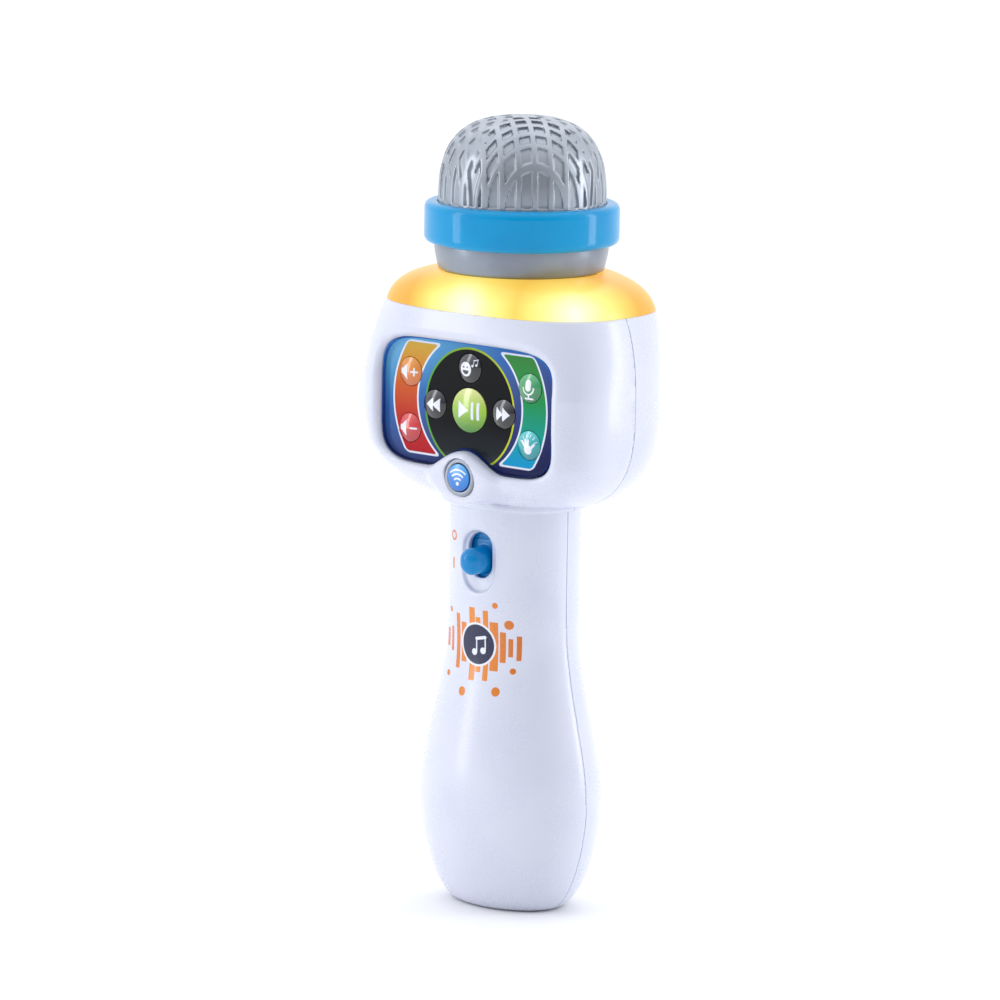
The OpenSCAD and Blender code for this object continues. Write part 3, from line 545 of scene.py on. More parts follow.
def tidy(obj, limit=0):
    """Joins doubled points, makes the faces look outwards and thins a mesh that is over the limit."""
    shape = bmesh.new()
    shape.from_mesh(obj.data)
    bmesh.ops.remove_doubles(shape, verts=shape.verts, dist=1e-7)
    bmesh.ops.dissolve_degenerate(shape, edges=shape.edges, dist=1e-8)
    bmesh.ops.recalc_face_normals(shape, faces=shape.faces)
    shape.to_mesh(obj.data)
    shape.free()
    triangles = sum(len(p.vertices) - 2 for p in obj.data.polygons)
    if limit and triangles > limit:
        thin = obj.modifiers.new("thin", "DECIMATE")
        thin.ratio = limit / triangles


def seam_outline(count, inset):
    """The outline of the head where the light dome meets it, as (x, y) points."""
    points = []
    for k in range(count):
        a = 2 * np.pi * k / count
        side = REAR if math.sin(a) >= 0 else FRONT
        c, b, n = (float(v) for v in head_section(np.array(HEAD_Z1), side))
        c, b = c - inset, b - inset
        r = (abs(math.cos(a) / c) ** n + abs(math.sin(a) / b) ** n) ** (-1 / n)
        points.append((r * math.cos(a), SEAM_Y + r * math.sin(a)))
    return np.array(points)


def light_dome_skin(inset, rows, count):
    """Rings of the light dome from the head seam up to the collar."""
    edge = seam_outline(count, inset)
    angle = np.arctan2(edge[:, 1], edge[:, 0])
    rim = (COLLAR_R - inset) * np.stack([np.cos(angle), np.sin(angle)], 1)
    height = COLLAR_Z - HEAD_Z1 - LENS_GAP - inset
    rings = []
    for t in np.linspace(0, 1, rows):
        spread = (1 - t) ** 2 + 2 * SHOULDER_SPREAD * t * (1 - t)
        rise = 2 * SHOULDER_RISE * t * (1 - t) + t * t
        flat = spread * edge + (1 - spread) * rim
        rings.append(np.column_stack([flat, np.full(count, HEAD_Z1 + LENS_GAP + height * rise)]))
    return rings


def light_dome(paint):
    rows, count = 40, 240
    rings = light_dome_skin(0, rows, count) + light_dome_skin(2, rows, count)[::-1]
    points = np.concatenate(rings)
    quads = []
    for i in range(len(rings)):
        for j in range(count):
            k = (i + 1) % len(rings)
            after = (j + 1) % count
            quads.append((i * count + j, i * count + after, k * count + after, k * count + j))
    obj = mesh_object("light_dome_shell", points, np.array(quads), paint)
    tidy(obj)
    return obj


# ---- Materials ----------------------------------------------------------------------------

def rgb(r, g, b):
    """A screen colour of 0 to 255 as a linear colour."""
    return tuple(((v / 255 + 0.055) / 1.055) ** 2.4 if v > 10 else v / 3295 for v in (r, g, b)) + (1,)


class Field:
    """A number worked out at each point of a surface by maths nodes."""

    def __init__(self, tree, socket):
        self.tree = tree
        self.socket = socket

    def math(self, operation, *others, clamp=False):
        node = self.tree.nodes.new("ShaderNodeMath")
        node.operation = operation
        node.use_clamp = clamp
        for socket, value in zip(node.inputs, (self,) + others):
            if isinstance(value, Field):
                self.tree.links.new(value.socket, socket)
            else:
                socket.default_value = value
        return Field(self.tree, node.outputs[0])

    def __add__(self, other):
        return self.math("ADD", other)

    def __sub__(self, other):
        return self.math("SUBTRACT", other)

    def __mul__(self, other):
        return self.math("MULTIPLY", other)

    def __truediv__(self, other):
        return self.math("DIVIDE", other)

    def __neg__(self):
        return self * -1

    def __abs__(self):
        return self.math("ABSOLUTE")

    def above(self, other):
        return self.math("MAXIMUM", other)

    def below(self, other):
        return self.math("MINIMUM", other)

    def far(self, other):
        """The length of the two numbers taken as a vector."""
        return (self * self + other * other).math("SQRT")

    def ramp(self, start, end):
        """0 at start, 1 at end, and held beyond them."""
        return ((self - start) / (end - start)).math("ADD", 0.0, clamp=True)

    def ink(self, soft=0.12):
        """1 where this distance is negative, 0 outside, with an edge of that width."""
        return self.ramp(soft / 2, -soft / 2)


def round_meet(a, b, r):
    """What two printed shapes share, with corners of radius r."""
    return a.above(b).below(-r) + (a + r).above(0.0).far((b + r).above(0.0))


def dot(x, z, cx, cz, r):
    return (x - cx).far(z - cz) - r


def stroke(x, z, x0, z0, x1, z1, r):
    """A straight stroke with round ends."""
    dx, dz = x1 - x0, z1 - z0
    px, pz = x - x0, z - z0
    t = ((px * dx + pz * dz) / (dx * dx + dz * dz)).math("ADD", 0.0, clamp=True)
    return (px - t * dx).far(pz - t * dz) - r


def wedge(x, z, tip_x, base_x, cz, half):
    """A triangle with its tip at tip_x and its upright side at base_x."""
    way = 1 if tip_x > base_x else -1
    length = abs(tip_x - base_x)
    along = (x - base_x) * way
    slope = (abs(z - cz) * length + along * half - half * length) / math.hypot(half, length)
    return round_meet(-along, slope, 0.25)


def either(*shapes):
    shape = shapes[0]
    for other in shapes[1:]:
        shape = shape.below(other)
    return shape


SOCKETS = {
    "coat_weight": "Coat Weight",
    "coat_roughness": "Coat Roughness",
    "metallic": "Metallic",
    "specular": "Specular IOR Level",
}


class Paint:
    """A material built up from fields: colour, roughness and bump."""

    def __init__(self, name, color, roughness=0.4, **sockets):
        self.material = bpy.data.materials.new(name)
        self.material.use_nodes = True
        self.tree = self.material.node_tree
        self.shader = self.tree.nodes["Principled BSDF"]
        self.shader.inputs["Base Color"].default_value = color
        self.shader.inputs["Roughness"].default_value = roughness
        for key, value in sockets.items():
            self.shader.inputs[SOCKETS[key]].default_value = value
        self.roughness = roughness
        coords = self.tree.nodes.new("ShaderNodeTexCoord")
        scale = self.tree.nodes.new("ShaderNodeVectorMath")
        scale.operation = "SCALE"
        scale.inputs["Scale"].default_value = 1 / MM
        self.tree.links.new(coords.outputs["Object"], scale.inputs[0])
        self.place = scale.outputs[0]
        split = self.tree.nodes.new("ShaderNodeSeparateXYZ")
        self.tree.links.new(self.place, split.inputs[0])
        self.x, self.y, self.z = (Field(self.tree, s) for s in split.outputs)

    def cover(self, color, socket="Base Color"):
        """Gives the whole surface a worked-out colour."""
        self.tree.links.new(color, self.shader.inputs[socket])

    def noise(self, size, detail=3.0):
        """A cloudy number near 0.5 with features of that size in millimetres."""
        node = self.tree.nodes.new("ShaderNodeTexNoise")
        node.inputs["Scale"].default_value = 1 / size
        node.inputs["Detail"].default_value = detail
        self.tree.links.new(self.place, node.inputs["Vector"])
        return Field(self.tree, node.outputs["Fac"])

    def color(self, mask, color, socket="Base Color"):
        """Lays a colour, fixed or worked out, over what is there, by a mask of 0 to 1."""
        target = self.shader.inputs[socket]
        mix = self.tree.nodes.new("ShaderNodeMix")
        mix.data_type = "RGBA"
        under, over = [s for s in mix.inputs if s.name in ("A", "B") and s.type == "RGBA"]
        factor = [s for s in mix.inputs if s.name == "Factor" and s.type == "VALUE"][0]
        if target.is_linked:
            self.tree.links.new(target.links[0].from_socket, under)
        else:
            under.default_value = target.default_value
        if isinstance(color, tuple):
            over.default_value = color
        else:
            self.tree.links.new(color, over)
        self.tree.links.new(mask.socket, factor)
        result = [s for s in mix.outputs if s.type == "RGBA"][0]
        self.tree.links.new(result, target)
        return result

    def gradient(self, field, stops):
        """A colour that runs through stops (place from 0 to 1, colour) along a field."""
        node = self.tree.nodes.new("ShaderNodeValToRGB")
        ramp = node.color_ramp
        while len(ramp.elements) < len(stops):
            ramp.elements.new(0.5)
        for element, (at, color) in zip(ramp.elements, stops):
            element.position = at
            element.color = color
        self.tree.links.new(field.socket, node.inputs[0])
        return node.outputs[0]

    def shine(self, field):
        self.tree.links.new(field.socket, self.shader.inputs["Roughness"])

    def bump(self, height, depth):
        """Raises the surface by a field times depth millimetres."""
        node = self.tree.nodes.new("ShaderNodeBump")
        node.inputs["Strength"].default_value = 1
        node.inputs["Distance"].default_value = depth * MM
        self.tree.links.new(height.socket, node.inputs["Height"])
        normal = self.shader.inputs["Normal"]
        if normal.is_linked:
            self.tree.links.new(normal.links[0].from_socket, node.inputs["Normal"])
        self.tree.links.new(node.outputs[0], normal)

    def worn(self, shade, size=18.0, rough=0.06, grain=0.6, depth=0.004):
        """Moulding detail: clouded colour, uneven gloss and a fine grain."""
        cloud = self.noise(size)
        self.color(cloud.ramp(0.45, 0.75), shade)
        fine = self.noise(grain, 2.0)
        self.shine(cloud * rough + fine * rough * 0.5 + (self.roughness - rough * 0.75))
        self.bump(fine, depth)
        return self


def plastic(name, color, shade, roughness=0.3, grain=0.6, depth=0.004, **sockets):
    return Paint(name, color, roughness, **sockets).worn(shade, grain=grain, depth=depth)


SHELL, SHELL_SHADE = rgb(217, 221, 236), rgb(212, 216, 233)


def white_paint(name):
    return plastic(name, SHELL, SHELL_SHADE, 0.27, coat_weight=0.25, coat_roughness=0.12)


ORANGE_INK, ORANGE_LIGHT = rgb(208, 106, 12), rgb(234, 142, 50)
NAVY_INK, WHITE_INK = rgb(12, 24, 66), rgb(232, 236, 248)
# Sound-wave picture on the handle: bars centred at one height, as (x, height, width), and dots, as
# (x, z, radius)
WAVE_Z = 87.5
BARS = [
    (-15.5, 6, 2), (-12.5, 8, 1.5), (-9, 18, 2), (-6, 13, 2.5), (-2, 24, 2.5), (0.5, 18, 2),
    (3.5, 23, 2), (6.5, 16, 3), (9.5, 10, 2), (12, 6, 1.5), (14.5, 8, 1.5),
]
DOTS = [
    (7, 101, 1), (11.5, 95, 1.5), (13, 80, 1), (8, 73, 1.5), (-5.5, 71.5, 1.5), (-13.5, 97, 1),
    (-14, 76, 1),
]
BADGE_Z, BADGE_R = WAVE_Z, 6.5
MARK_X, OFF_Z, ON_Z = -12.0, 121.5, 112.5


def front_print(paint):
    """The sound-wave picture and the marks beside the switch."""
    x, z = paint.x, paint.z
    marks = [round_meet(abs(x - bx) - width / 2, abs(z - WAVE_Z) - height / 2, 0.12)
             for bx, height, width in BARS]
    marks += [dot(x, z, dx, dz, r) for dx, dz, r in DOTS]
    marks.append(abs(dot(x, z, MARK_X, OFF_Z, 1.35)) - 0.4)
    marks.append(stroke(x, z, MARK_X, ON_Z - 1.4, MARK_X, ON_Z + 1.4, 0.5))
    glow = paint.gradient(abs(x).ramp(0, 16), [(0, ORANGE_LIGHT), (1, ORANGE_INK)])
    paint.color(either(*marks).ink(), glow)
    badge = dot(x, z, 0, BADGE_Z, BADGE_R)
    paint.color((badge - 0.7).ink(), WHITE_INK)
    paint.color(badge.ink(), NAVY_INK)
    paint.color(note(x, z, -1.2, BADGE_Z - 2.6, 1.45).ink(), WHITE_INK)


def note(x, z, cx, cz, size):
    """Two joined music notes with their left head at (cx, cz)."""
    right = cx + 2.4 * size
    return either(
        dot(x, z, cx, cz, size * 0.75),
        dot(x, z, right, cz + 0.5 * size, size * 0.75),
        stroke(x, z, cx + 0.6 * size, cz, cx + 0.6 * size, cz + 3.2 * size, size * 0.17),
        stroke(x, z, right + 0.6 * size, cz + 0.5 * size, right + 0.6 * size, cz + 3.7 * size, size * 0.17),
        stroke(x, z, cx + 0.6 * size, cz + 3.1 * size, right + 0.6 * size, cz + 3.6 * size, size * 0.35),
    )


DISC_Z, DISC_R, DISC_SQUEEZE, RING_WIDTH = 164.7, 19.2, 1.06, 0.7
SEGMENT_Z, SEGMENT_H, SEGMENT_IN, SEGMENT_OUT = 166.2, 18.1, 21.9, 31.3


def panel_paint():
    """The printed face: a black disc, greyed towards its bottom by a painted reflection, with a lime ring
    between two coloured segments.
    """
    paint = Paint("panel_print", rgb(60, 120, 200), 0.3, specular=0.05)
    x, z = paint.x, paint.z
    cloud = paint.noise(9.0)
    height = (z - x * 0.45 + cloud * 3.0).ramp(140, 200)
    sky = [(0.0, rgb(32, 38, 86)), (0.22, rgb(46, 58, 114)), (0.45, rgb(62, 84, 142)),
           (0.65, rgb(56, 108, 178)), (0.85, rgb(88, 156, 202)), (1.0, rgb(120, 184, 222))]
    paint.cover(paint.gradient(height, sky))
    out = abs(x) + SEGMENT_OUT - 32.0
    outer = out.far(z - SEGMENT_Z) - SEGMENT_OUT
    inner = -(x.far(z - SEGMENT_Z) - SEGMENT_IN)
    segment = round_meet(round_meet(outer, inner, 1.0), abs(z - SEGMENT_Z) - SEGMENT_H, 1.2)
    rise = z.ramp(SEGMENT_Z - SEGMENT_H, SEGMENT_Z + SEGMENT_H)
    warm = [(0.0, rgb(178, 30, 40)), (0.3, rgb(184, 48, 44)), (0.6, rgb(202, 92, 44)),
            (1.0, rgb(208, 170, 66))]
    cool = [(0.0, rgb(18, 150, 206)), (0.3, rgb(22, 150, 136)), (0.6, rgb(36, 142, 76)),
            (1.0, rgb(60, 134, 62))]
    left = x.ramp(0.5, -0.5)
    paint.color(segment.ink() * left, paint.gradient(rise, warm))
    paint.color(segment.ink() * (-left + 1.0), paint.gradient(rise, cool))
    paint.color((abs(segment) - 0.32).ink(), rgb(226, 232, 244))
    disc = (x * DISC_SQUEEZE).far(z - DISC_Z) - DISC_R
    lime = [(0, rgb(70, 160, 70)), (1, rgb(200, 205, 40))]
    paint.color((disc - RING_WIDTH).ink(), paint.gradient(x.ramp(-20, 20), lime))
    # Painted reflection: the black disc turns grey towards its bottom.
    glow = (z + cloud * 4.0).ramp(162, 146)
    black = [(0.0, rgb(12, 14, 18)), (0.6, rgb(34, 40, 46)), (1.0, rgb(90, 102, 112))]
    paint.color(disc.ink(), paint.gradient(glow, black))
    wall = paint.y.ramp(FACE_Y - 0.2, FACE_Y - 1.0)
    bevel = [(0, rgb(24, 28, 70)), (0.5, rgb(34, 72, 150)), (1, rgb(50, 120, 200))]
    paint.color(wall, paint.gradient(z.ramp(144, 188), bevel))
    fine = paint.noise(0.5, 2.0)
    paint.shine(fine * 0.08 + 0.16)
    paint.bump(fine, 0.002)
    return paint


ICON = rgb(232, 236, 244)


def icon_play(x, z):
    return either(wedge(x, z, 0.2, -4.0, 0.1, 2.9), stroke(x, z, 1.9, -2.3, 1.9, 2.5, 0.5),
                  stroke(x, z, 4.1, -2.3, 4.1, 2.5, 0.5))


def icon_turn(way):
    def icon(x, z):
        return either(wedge(x, z, 3.0 * way, 0.1 * way, 0, 2.3), wedge(x, z, 0.3 * way, -2.6 * way, 0, 2.3))
    return icon


def icon_voice(x, z):
    """A plain smiling face beside two small notes."""
    face = dot(x, z, -1.1, -0.3, 2.35)
    eyes = either(dot(x, z, -1.9, 0.4, 0.36), dot(x, z, -0.3, 0.4, 0.36))
    smile = round_meet(dot(x, z, -1.1, -0.6, 1.35), z + 0.6, 0.15)
    face = face.above(-eyes).above(-smile)
    return either(face, note(x, z, 1.7, 1.0, 0.55))


def icon_speaker(x, z):
    box = round_meet(abs(x + 2.7) - 0.8, abs(z) - 0.95, 0.2)
    cone = round_meet((abs(z) - 2.5 - (x + 0.9) * 0.9) * 0.74, abs(x + 1.6) - 0.9, 0.2)
    return either(box, cone)


def icon_quieter(x, z):
    """A loudspeaker and a minus."""
    return either(icon_speaker(x, z), stroke(x, z, 1.0, 0, 3.2, 0, 0.3))


def icon_louder(x, z):
    """A loudspeaker and a plus."""
    return either(icon_quieter(x, z), stroke(x, z, 2.1, -1.1, 2.1, 1.1, 0.3))


def icon_record(x, z):
    """A desk microphone in a cradle."""
    body = stroke(x, z, 0, 0.3, 0, 1.7, 1.15)
    cradle = (abs(dot(x, z, 0, 0.2, 2.1)) - 0.26).above(z - 0.4)
    stem = stroke(x, z, 0, -2.0, 0, -3.2, 0.28)
    foot = stroke(x, z, -1.5, -3.3, 1.5, -3.3, 0.3)
    return either(body, cradle, stem, foot)


def icon_clap(x, z):
    """An open hand with short lines round it."""
    palm = dot(x, z, 0.2, -1.2, 1.55)
    fingers = [stroke(x, z, 0.2 + dx * 0.5, -0.6, 0.2 + dx * 1.5 - 0.5, 1.9 - abs(dx) * 0.5, 0.42)
               for dx in (-1.3, -0.45, 0.4)]
    thumb = stroke(x, z, 1.2, -1.0, 2.5, 0.5, 0.42)
    rays = [stroke(x, z, 2.6 * math.cos(a) + 0.2, 2.6 * math.sin(a) + 0.2, 3.5 * math.cos(a) + 0.2,
                   3.5 * math.sin(a) + 0.2, 0.14) for a in np.radians([20, 48, 76, 104, 132, 160])]
    return either(palm, thumb, *fingers, *rays)


# Each key: slot name, its colour, a darker painted shade for the bottom of its dome, a lighter painted
# highlight for the top, and its icon.
KEY_LOOKS = {
    "play_pause_key": ("key_lime", (150, 196, 34), (44, 126, 14), (226, 230, 150), icon_play),
    "previous_key": ("key_black", (20, 20, 24), (12, 12, 14), (70, 72, 80), icon_turn(-1)),
    "next_key": ("key_black", (20, 20, 24), (12, 12, 14), (70, 72, 80), icon_turn(1)),
    "voice_key": ("key_black", (20, 20, 24), (12, 12, 14), (70, 72, 80), icon_voice),
    "volume_up_key": ("key_orange", (222, 130, 44), (196, 96, 36), (236, 160, 70), icon_louder),
    "volume_down_key": ("key_red", (208, 50, 58), (170, 26, 40), (226, 84, 84), icon_quieter),
    "record_key": ("key_green", (50, 150, 90), (28, 112, 66), (96, 190, 130), icon_record),
    "applause_key": ("key_cyan", (34, 168, 172), (20, 130, 140), (90, 208, 214), icon_clap),
}


def key_paint(name):
    slot, middle, low, high, icon = KEY_LOOKS[name]
    cx, cz, r = KEYS[name]
    paint = Paint(name + "_paint", rgb(*middle), 0.16, coat_weight=0.8, coat_roughness=0.04)
    x, z = paint.x - cx, paint.z - cz
    # Painted shade and painted highlight: each dome runs from its darker colour at the bottom to its lighter
    # colour at the top.
    rise = z.ramp(-r, r)
    paint.cover(paint.gradient(rise, [(0, rgb(*low)), (0.55, rgb(*middle)), (1, rgb(*high))]))
    print_mask = icon(x, z).ink(0.1)
    paint.color(print_mask, ICON)
    fine = paint.noise(0.4, 2.0)
    paint.shine(fine * 0.06 + print_mask * 0.08 + 0.1)
    paint.bump(print_mask + fine * 0.05, 0.02)
    return paint


# ---- Pieces -------------------------------------------------------------------------------

KEY_RISE = 1.1


def key_profile(r):
    """Half profile of a key, from its back up to its domed face, as (r, y)."""
    back = FACE_Y + 2.3
    top = FACE_Y - 0.1
    spread = np.sin(np.linspace(np.pi / 2, 0, 16))
    dome = [(r * t, top - KEY_RISE * (1 - t * t)) for t in spread]
    return [(0, back + 1), (r + 0.7, back + 1), (r + 0.7, back), (r, back), (r, top + 0.3)] + dome


def ridden(obj, body, slot, *replaced):
    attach(obj, body)
    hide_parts(*replaced)
    return obj


TRIANGLES = 185000


def build_shells():
    step = 0.48
    grown = box_mm("front_housing"), box_mm("rear_housing")
    printed = white_paint("shell_front")
    front_print(printed)
    front = solid("front_shell", front_shell, grown[0][0] - 1, grown[0][1] + 1, step, printed)
    rear = solid("rear_shell", rear_shell, grown[1][0] - 1, grown[1][1] + 1, step, white_paint("shell_rear"))
    for obj, node in ((front, "front_housing"), (rear, "rear_housing")):
        tidy(obj, TRIANGLES)
        ridden(obj, "casing", "white_shell", node)


def build_door():
    low, high = box_mm("battery_door")
    step = 0.4
    obj = solid("battery_door_shell", door, low - 1, high + 1, step, white_paint("shell_door"))
    tidy(obj, TRIANGLES)
    ridden(obj, "battery_door", "white_shell", "battery_door")


# Where the lens is painted brightest, as the photo shows it
GLOW_Z = 198.0
GLOW_PLACES = [(3, -29), (38, -19), (-3, 29), (-38, 19)]


def lens_paint():
    """A warm diffuser lit from inside: near white at the glowing places, orange away from them."""
    paint = Paint("dome_lens", rgb(132, 84, 20), 0.3, coat_weight=0.1, coat_roughness=0.15, specular=0.3)
    x, y, z = paint.x, paint.y, paint.z
    cloud = paint.noise(14.0)
    near = None
    for glow_x, glow_y in GLOW_PLACES:
        gap = (x - glow_x).far(y - glow_y).far(z - GLOW_Z)
        near = gap if near is None else near.below(gap)
    warm = (near + cloud * 3.0).ramp(27, 8)
    hot = near.ramp(11, 1)
    rim = (z + cloud * 2.0).ramp(COLLAR_Z + 1.0, COLLAR_Z - 6)
    glow = paint.gradient(warm * (rim * 0.5 + 0.5), [
        (0.0, rgb(224, 168, 62)), (0.3, rgb(232, 204, 92)), (0.6, rgb(248, 236, 128)),
        (1.0, rgb(252, 250, 172))])
    paint.cover(glow, "Emission Color")
    paint.color(hot * hot, rgb(255, 255, 240), "Emission Color")
    paint.shader.inputs["Emission Strength"].default_value = 1
    fine = paint.noise(0.5, 2.0)
    paint.shine(fine * 0.1 + 0.25)
    paint.bump(fine, 0.003)
    return paint


def silver_paint(name, color=(150, 156, 166), shade=(134, 140, 152), metallic=0.45, roughness=0.32):
    return plastic(name, rgb(*color), rgb(*shade), roughness, 0.35, 0.004, metallic=metallic, coat_weight=0.2,
                   coat_roughness=0.2)


def build_top():
    ridden(light_dome(lens_paint()), "casing", "dome_lens", "light_dome")
    low, high = box_mm("grille_dome")
    grille_obj = solid("grille_shell", grille, low - 1, high + 1, 0.36,
                       silver_paint("grille_silver", (166, 173, 182), (148, 156, 166), 0.6, 0.3), 50)
    tidy(grille_obj, TRIANGLES)
    ridden(grille_obj, "casing", "grille_silver", "grille_dome")
    blue = plastic("ring_blue", rgb(0, 152, 210), rgb(0, 142, 202), 0.25, coat_weight=0.4,
                   coat_roughness=0.07, specular=0.1)
    e = 2.6
    ring = rounded([(COLLAR_TOP_R + 0.1, RING_Z0, 0.3), (RING_R, RING_Z0, e), (RING_R, RING_Z1, e),
                    (DOME_R + 0.15, RING_Z1, 0.6), (DOME_R + 0.15, 222, 0), (COLLAR_TOP_R + 0.1, 222, 0)], 10)
    ring = turned("bumper_ring_shell", [ring], [(0, 0)], blue)
    ridden(ring, "casing", "ring_blue", "bumper_ring")
    bore, skirt = 23.2, 24.4
    body = rounded([(bore, 203, 0.3), (skirt, 203, 0.3), (skirt, COLLAR_Z, 0), (COLLAR_R, COLLAR_Z, 1.0),
                    (COLLAR_TOP_R, RING_Z0 - 1.8, 2.0), (COLLAR_TOP_R, 222, 0.3), (bore, 222, 0.3)], 8)
    leg = [(0, 191.6), (0.6, 191.6), (0.6, 203.4), (0, 203.4)]
    legs = [((skirt + bore) / 2, 0), (-(skirt + bore) / 2, 0)]
    collar = turned("collar_shell", [body, leg, leg], [(0, 0)] + legs,
                    silver_paint("collar_silver", (140, 148, 160), (124, 132, 146)))
    ridden(collar, "casing", "grille_silver", "collar")


def build_keypad():
    low, high = box_mm("control_panel")
    face = solid("panel_face", panel, low - 1, high + 1, 0.36, panel_paint())
    tidy(face, TRIANGLES)
    ridden(face, "casing", "panel_print", "control_panel")
    for name, (x, z, r) in KEYS.items():
        key = turned(name + "_cap", [key_profile(r)], [(x, z)], key_paint(name), "y")
        ridden(key, name, KEY_LOOKS[name][0], name)


PAIR_R, PAIR_Y, BEZEL_R, BEZEL_Y = 4.35, -29.9, 6.2, -29.2


def pairing_paint():
    paint = Paint("pairing_print", rgb(38, 128, 214), 0.22, coat_weight=0.5, coat_roughness=0.1)
    x, z = paint.x, paint.z - PAIR_Z
    # Painted shade and painted highlight: the button runs from darker blue at its bottom to lighter blue at
    # its top.
    rise = z.ramp(-PAIR_R, PAIR_R)
    paint.cover(paint.gradient(rise, [
        (0, rgb(34, 110, 200)), (0.5, rgb(44, 134, 220)), (1, rgb(100, 180, 240))]))
    origin_z = z + 2.2
    reach = x.far(origin_z)
    fan = abs(x) - origin_z * 0.9
    arcs = [abs(reach - r) - 0.26 for r in (2.0, 3.4, 4.8)]
    icon = either(*arcs).above(fan * 0.74)
    icon = either(icon, dot(x, z, 0, -1.9, 0.6))
    paint.color(icon.ink(0.1), ICON)
    fine = paint.noise(0.4, 2.0)
    paint.shine(fine * 0.08 + 0.16)
    paint.bump(fine, 0.002)
    return paint


def build_pairing():
    back = BEZEL_Y + 3.2
    bore = PAIR_R + KEY_GAP
    rim = rounded([(bore, back, 0), (BEZEL_R, back, 0), (BEZEL_R, BEZEL_Y, 0.7), (bore, BEZEL_Y, 0.45)])
    silver = silver_paint("bezel_silver", (150, 156, 168))
    bezel = turned("pairing_bezel_ring", [rim], [(0, PAIR_Z)], silver, "y")
    ridden(bezel, "casing", "bezel_grey", "pairing_bezel")
    flange = back + 0.2
    face = [(PAIR_R * math.sin(a), PAIR_Y + 0.45 * math.sin(a) ** 4) for a in np.linspace(np.pi / 2, 0, 12)]
    body = [(0, flange + 1), (BEZEL_R - 0.4, flange + 1), (BEZEL_R - 0.4, flange), (PAIR_R, flange)] + face
    button = turned("pairing_cap", [body], [(0, PAIR_Z)], pairing_paint(), "y")
    ridden(button, "pairing_button", "pairing_blue", "pairing_button")


def build_switch():
    low, high = box_mm("switch_knob")
    blue = plastic("switch_blue", rgb(0, 134, 200), rgb(0, 120, 190), 0.2, coat_weight=0.4,
                   coat_roughness=0.06, specular=0.15)
    obj = solid("slider", knob, low - 1, high + 1, 0.25, blue)
    tidy(obj, TRIANGLES)
    ridden(obj, "switch_slider", "switch_blue", "switch_knob")


def metal(name, color, roughness=0.3, grain=0.4):
    shade = [int(v * 0.82) for v in color]
    return plastic(name, rgb(*color), rgb(*shade), roughness, grain, 0.003, metallic=1.0)


def board_paint():
    """Green solder mask with tracks, and gold pads at the crossings of a grid."""
    paint = plastic("board_green", rgb(24, 96, 52), rgb(18, 78, 42), 0.35, 0.5, 0.003)
    u, v = paint.x, paint.z + paint.y
    grid_u = (u / 2.54).math("FRACT") - 0.5
    grid_v = (v / 2.54).math("FRACT") - 0.5
    track = (abs(grid_v) - 0.08).above(-(paint.noise(6.0) - 0.5))
    paint.color(track.ink(0.05), rgb(48, 130, 76))
    pad = grid_u.far(grid_v) - 0.16
    paint.color(pad.above(-(paint.noise(11.0) - 0.52)).ink(0.05), rgb(206, 170, 90))
    return paint


def cell_paint():
    """A plain sleeve with one contrasting band and a bare metal end."""
    paint = plastic("cell_wrap", rgb(46, 60, 74), rgb(36, 48, 60), 0.3, 0.5, 0.003, coat_weight=0.3)
    band = abs(paint.z - 60.0) - 5.0
    paint.color(band.ink(), rgb(200, 132, 60))
    ends = abs(paint.z - 44.5) - 24.6
    paint.color((-ends).ink(), rgb(190, 192, 196))
    return paint


def cone_paint():
    """Pressed paper: fine fibres and shallow rings round the middle."""
    paint = plastic("paper_cone", rgb(40, 40, 44), rgb(28, 28, 32), 0.75, 0.8, 0.02)
    ring = (paint.x.far(paint.z - SPEAKER_Z) / 1.6).math("FRACT")
    paint.bump(abs(ring - 0.5), 0.08)
    return paint


def finish_nodes():
    """Gives every CAD node that still shows a material of its own."""
    steel = metal("steel", (196, 198, 202))
    zinc = metal("zinc", (208, 206, 196), 0.4, 0.7)
    shield = metal("shield", (186, 190, 194), 0.36, 0.9)
    inner = plastic("inner_plastic", rgb(214, 216, 224), rgb(196, 198, 208), 0.45, 0.8, 0.006)
    dark = plastic("dark_plastic", rgb(38, 39, 43), rgb(26, 27, 30), 0.5, 0.5, 0.006)
    rubber = plastic("silicone", rgb(88, 90, 96), rgb(70, 72, 78), 0.7, 0.9, 0.01)
    ferrite = plastic("magnet", rgb(58, 58, 62), rgb(40, 40, 44), 0.6, 0.6, 0.02)
    lens = plastic("led_lens", rgb(255, 250, 220), rgb(250, 240, 200), 0.12, 0.6, 0.002)
    board, cell, cone = board_paint(), cell_paint(), cone_paint()
    looks = {
        steel: ["case_screws", "battery_door_screw", "speaker_screws", "pcb_screws"],
        zinc: ["slide_switch", "contact_springs", "contact_plates", "speaker_frame"],
        shield: ["wireless_module", "mic_capsule"],
        inner: ["battery_tray"],
        dark: ["processor_chip", "capacitors", "pairing_tact_switch", "mic_bracket"],
        rubber: ["keypad_membrane", "mic_holder"],
        ferrite: ["speaker_magnet"],
        lens: ["leds"],
        board: ["main_pcb", "led_board"],
        cell: ["batteries"],
        cone: ["speaker_cone"],
    }
    for paint, names in looks.items():
        for name in names:
            for slot in nodes[name].material_slots:
                slot.material = paint.material


# ---- Floor and lights ---------------------------------------------------------------------

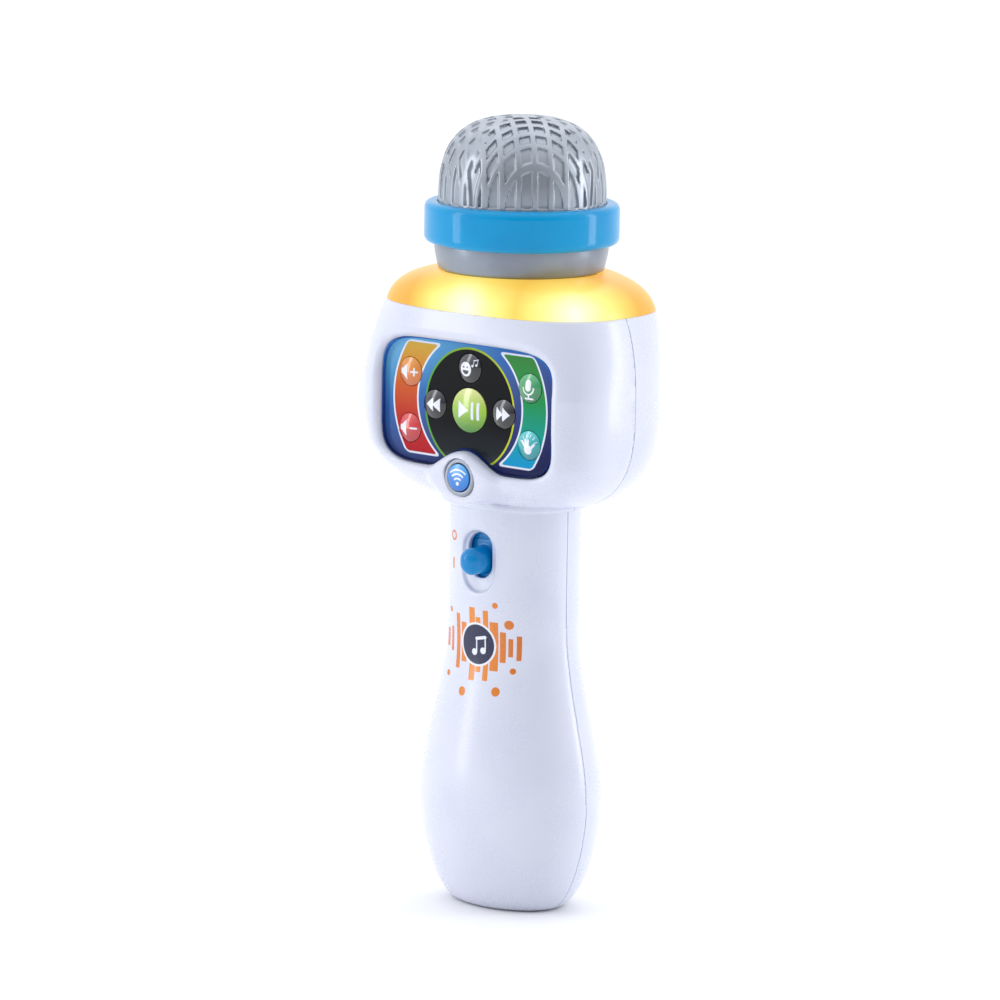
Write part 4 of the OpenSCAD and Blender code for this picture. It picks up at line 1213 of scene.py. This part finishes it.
def build_floor():
    size = 6.0
    mesh = bpy.data.meshes.new("floor")
    corners = [(x * size, y * size, 0) for x, y in ((-1, -1), (1, -1), (1, 1), (-1, 1))]
    mesh.from_pydata(corners, [], [(0, 1, 2, 3)])
    floor = bpy.data.objects.new("floor", mesh)
    bpy.context.scene.collection.objects.link(floor)
    paint = Paint("floor_paper", (0.93, 0.93, 0.94, 1), 0.8)
    paint.bump(paint.noise(1.5, 2.0), 0.01)
    floor.data.materials.append(paint.material)


def add_light(name, azimuth, elevation, distance, width, height, power, color=(1, 1, 1)):
    """A soft box that looks at the middle of the toy."""
    data = bpy.data.lights.new(name, "AREA")
    data.shape = "RECTANGLE"
    data.size, data.size_y = width, height
    data.energy = power
    data.color = color
    light = bpy.data.objects.new(name, data)
    a, e = math.radians(azimuth), math.radians(elevation)
    way = Vector((math.sin(a) * math.cos(e), -math.cos(a) * math.cos(e), math.sin(e)))
    light.location = TARGET + way * distance
    light.rotation_euler = (-way).to_track_quat("-Z", "Y").to_euler()
    bpy.context.scene.collection.objects.link(light)


VIEW_AZIMUTH = math.degrees(AZIMUTH)


def build_studio():
    """A pale room, darker behind the camera, with a tall soft box on each side and one high behind."""
    world = bpy.data.worlds.new("studio")
    bpy.context.scene.world = world
    world.use_nodes = True
    tree = world.node_tree
    background = tree.nodes["Background"]
    background.inputs["Color"].default_value = (0.95, 0.965, 1.0, 1)
    coords = tree.nodes.new("ShaderNodeTexCoord")
    split = tree.nodes.new("ShaderNodeSeparateXYZ")
    tree.links.new(coords.outputs["Generated"], split.inputs[0])
    east, north, up = (Field(tree, socket) for socket in split.outputs)
    dark = AZIMUTH + math.radians(4)
    front = (east * math.sin(dark) - north * math.cos(dark)).ramp(0.25, 0.98)
    strength = front * -0.96 + up.ramp(0.0, 1.0) * 0.5 + 1.01
    tree.links.new(strength.socket, background.inputs["Strength"])
    add_light("left_box", VIEW_AZIMUTH - 82, 8, 0.9, 0.18, 0.9, 1.8)
    add_light("right_box", VIEW_AZIMUTH + 90, 8, 0.9, 0.18, 0.9, 2.2)
    add_light("top_box", VIEW_AZIMUTH + 180, 62, 1.0, 0.8, 0.8, 0.8)
    bpy.context.scene.view_settings.view_transform = "Standard"


build_shells()
build_door()
build_top()
build_keypad()
build_pairing()
build_switch()
finish_nodes()
build_floor()
build_studio()
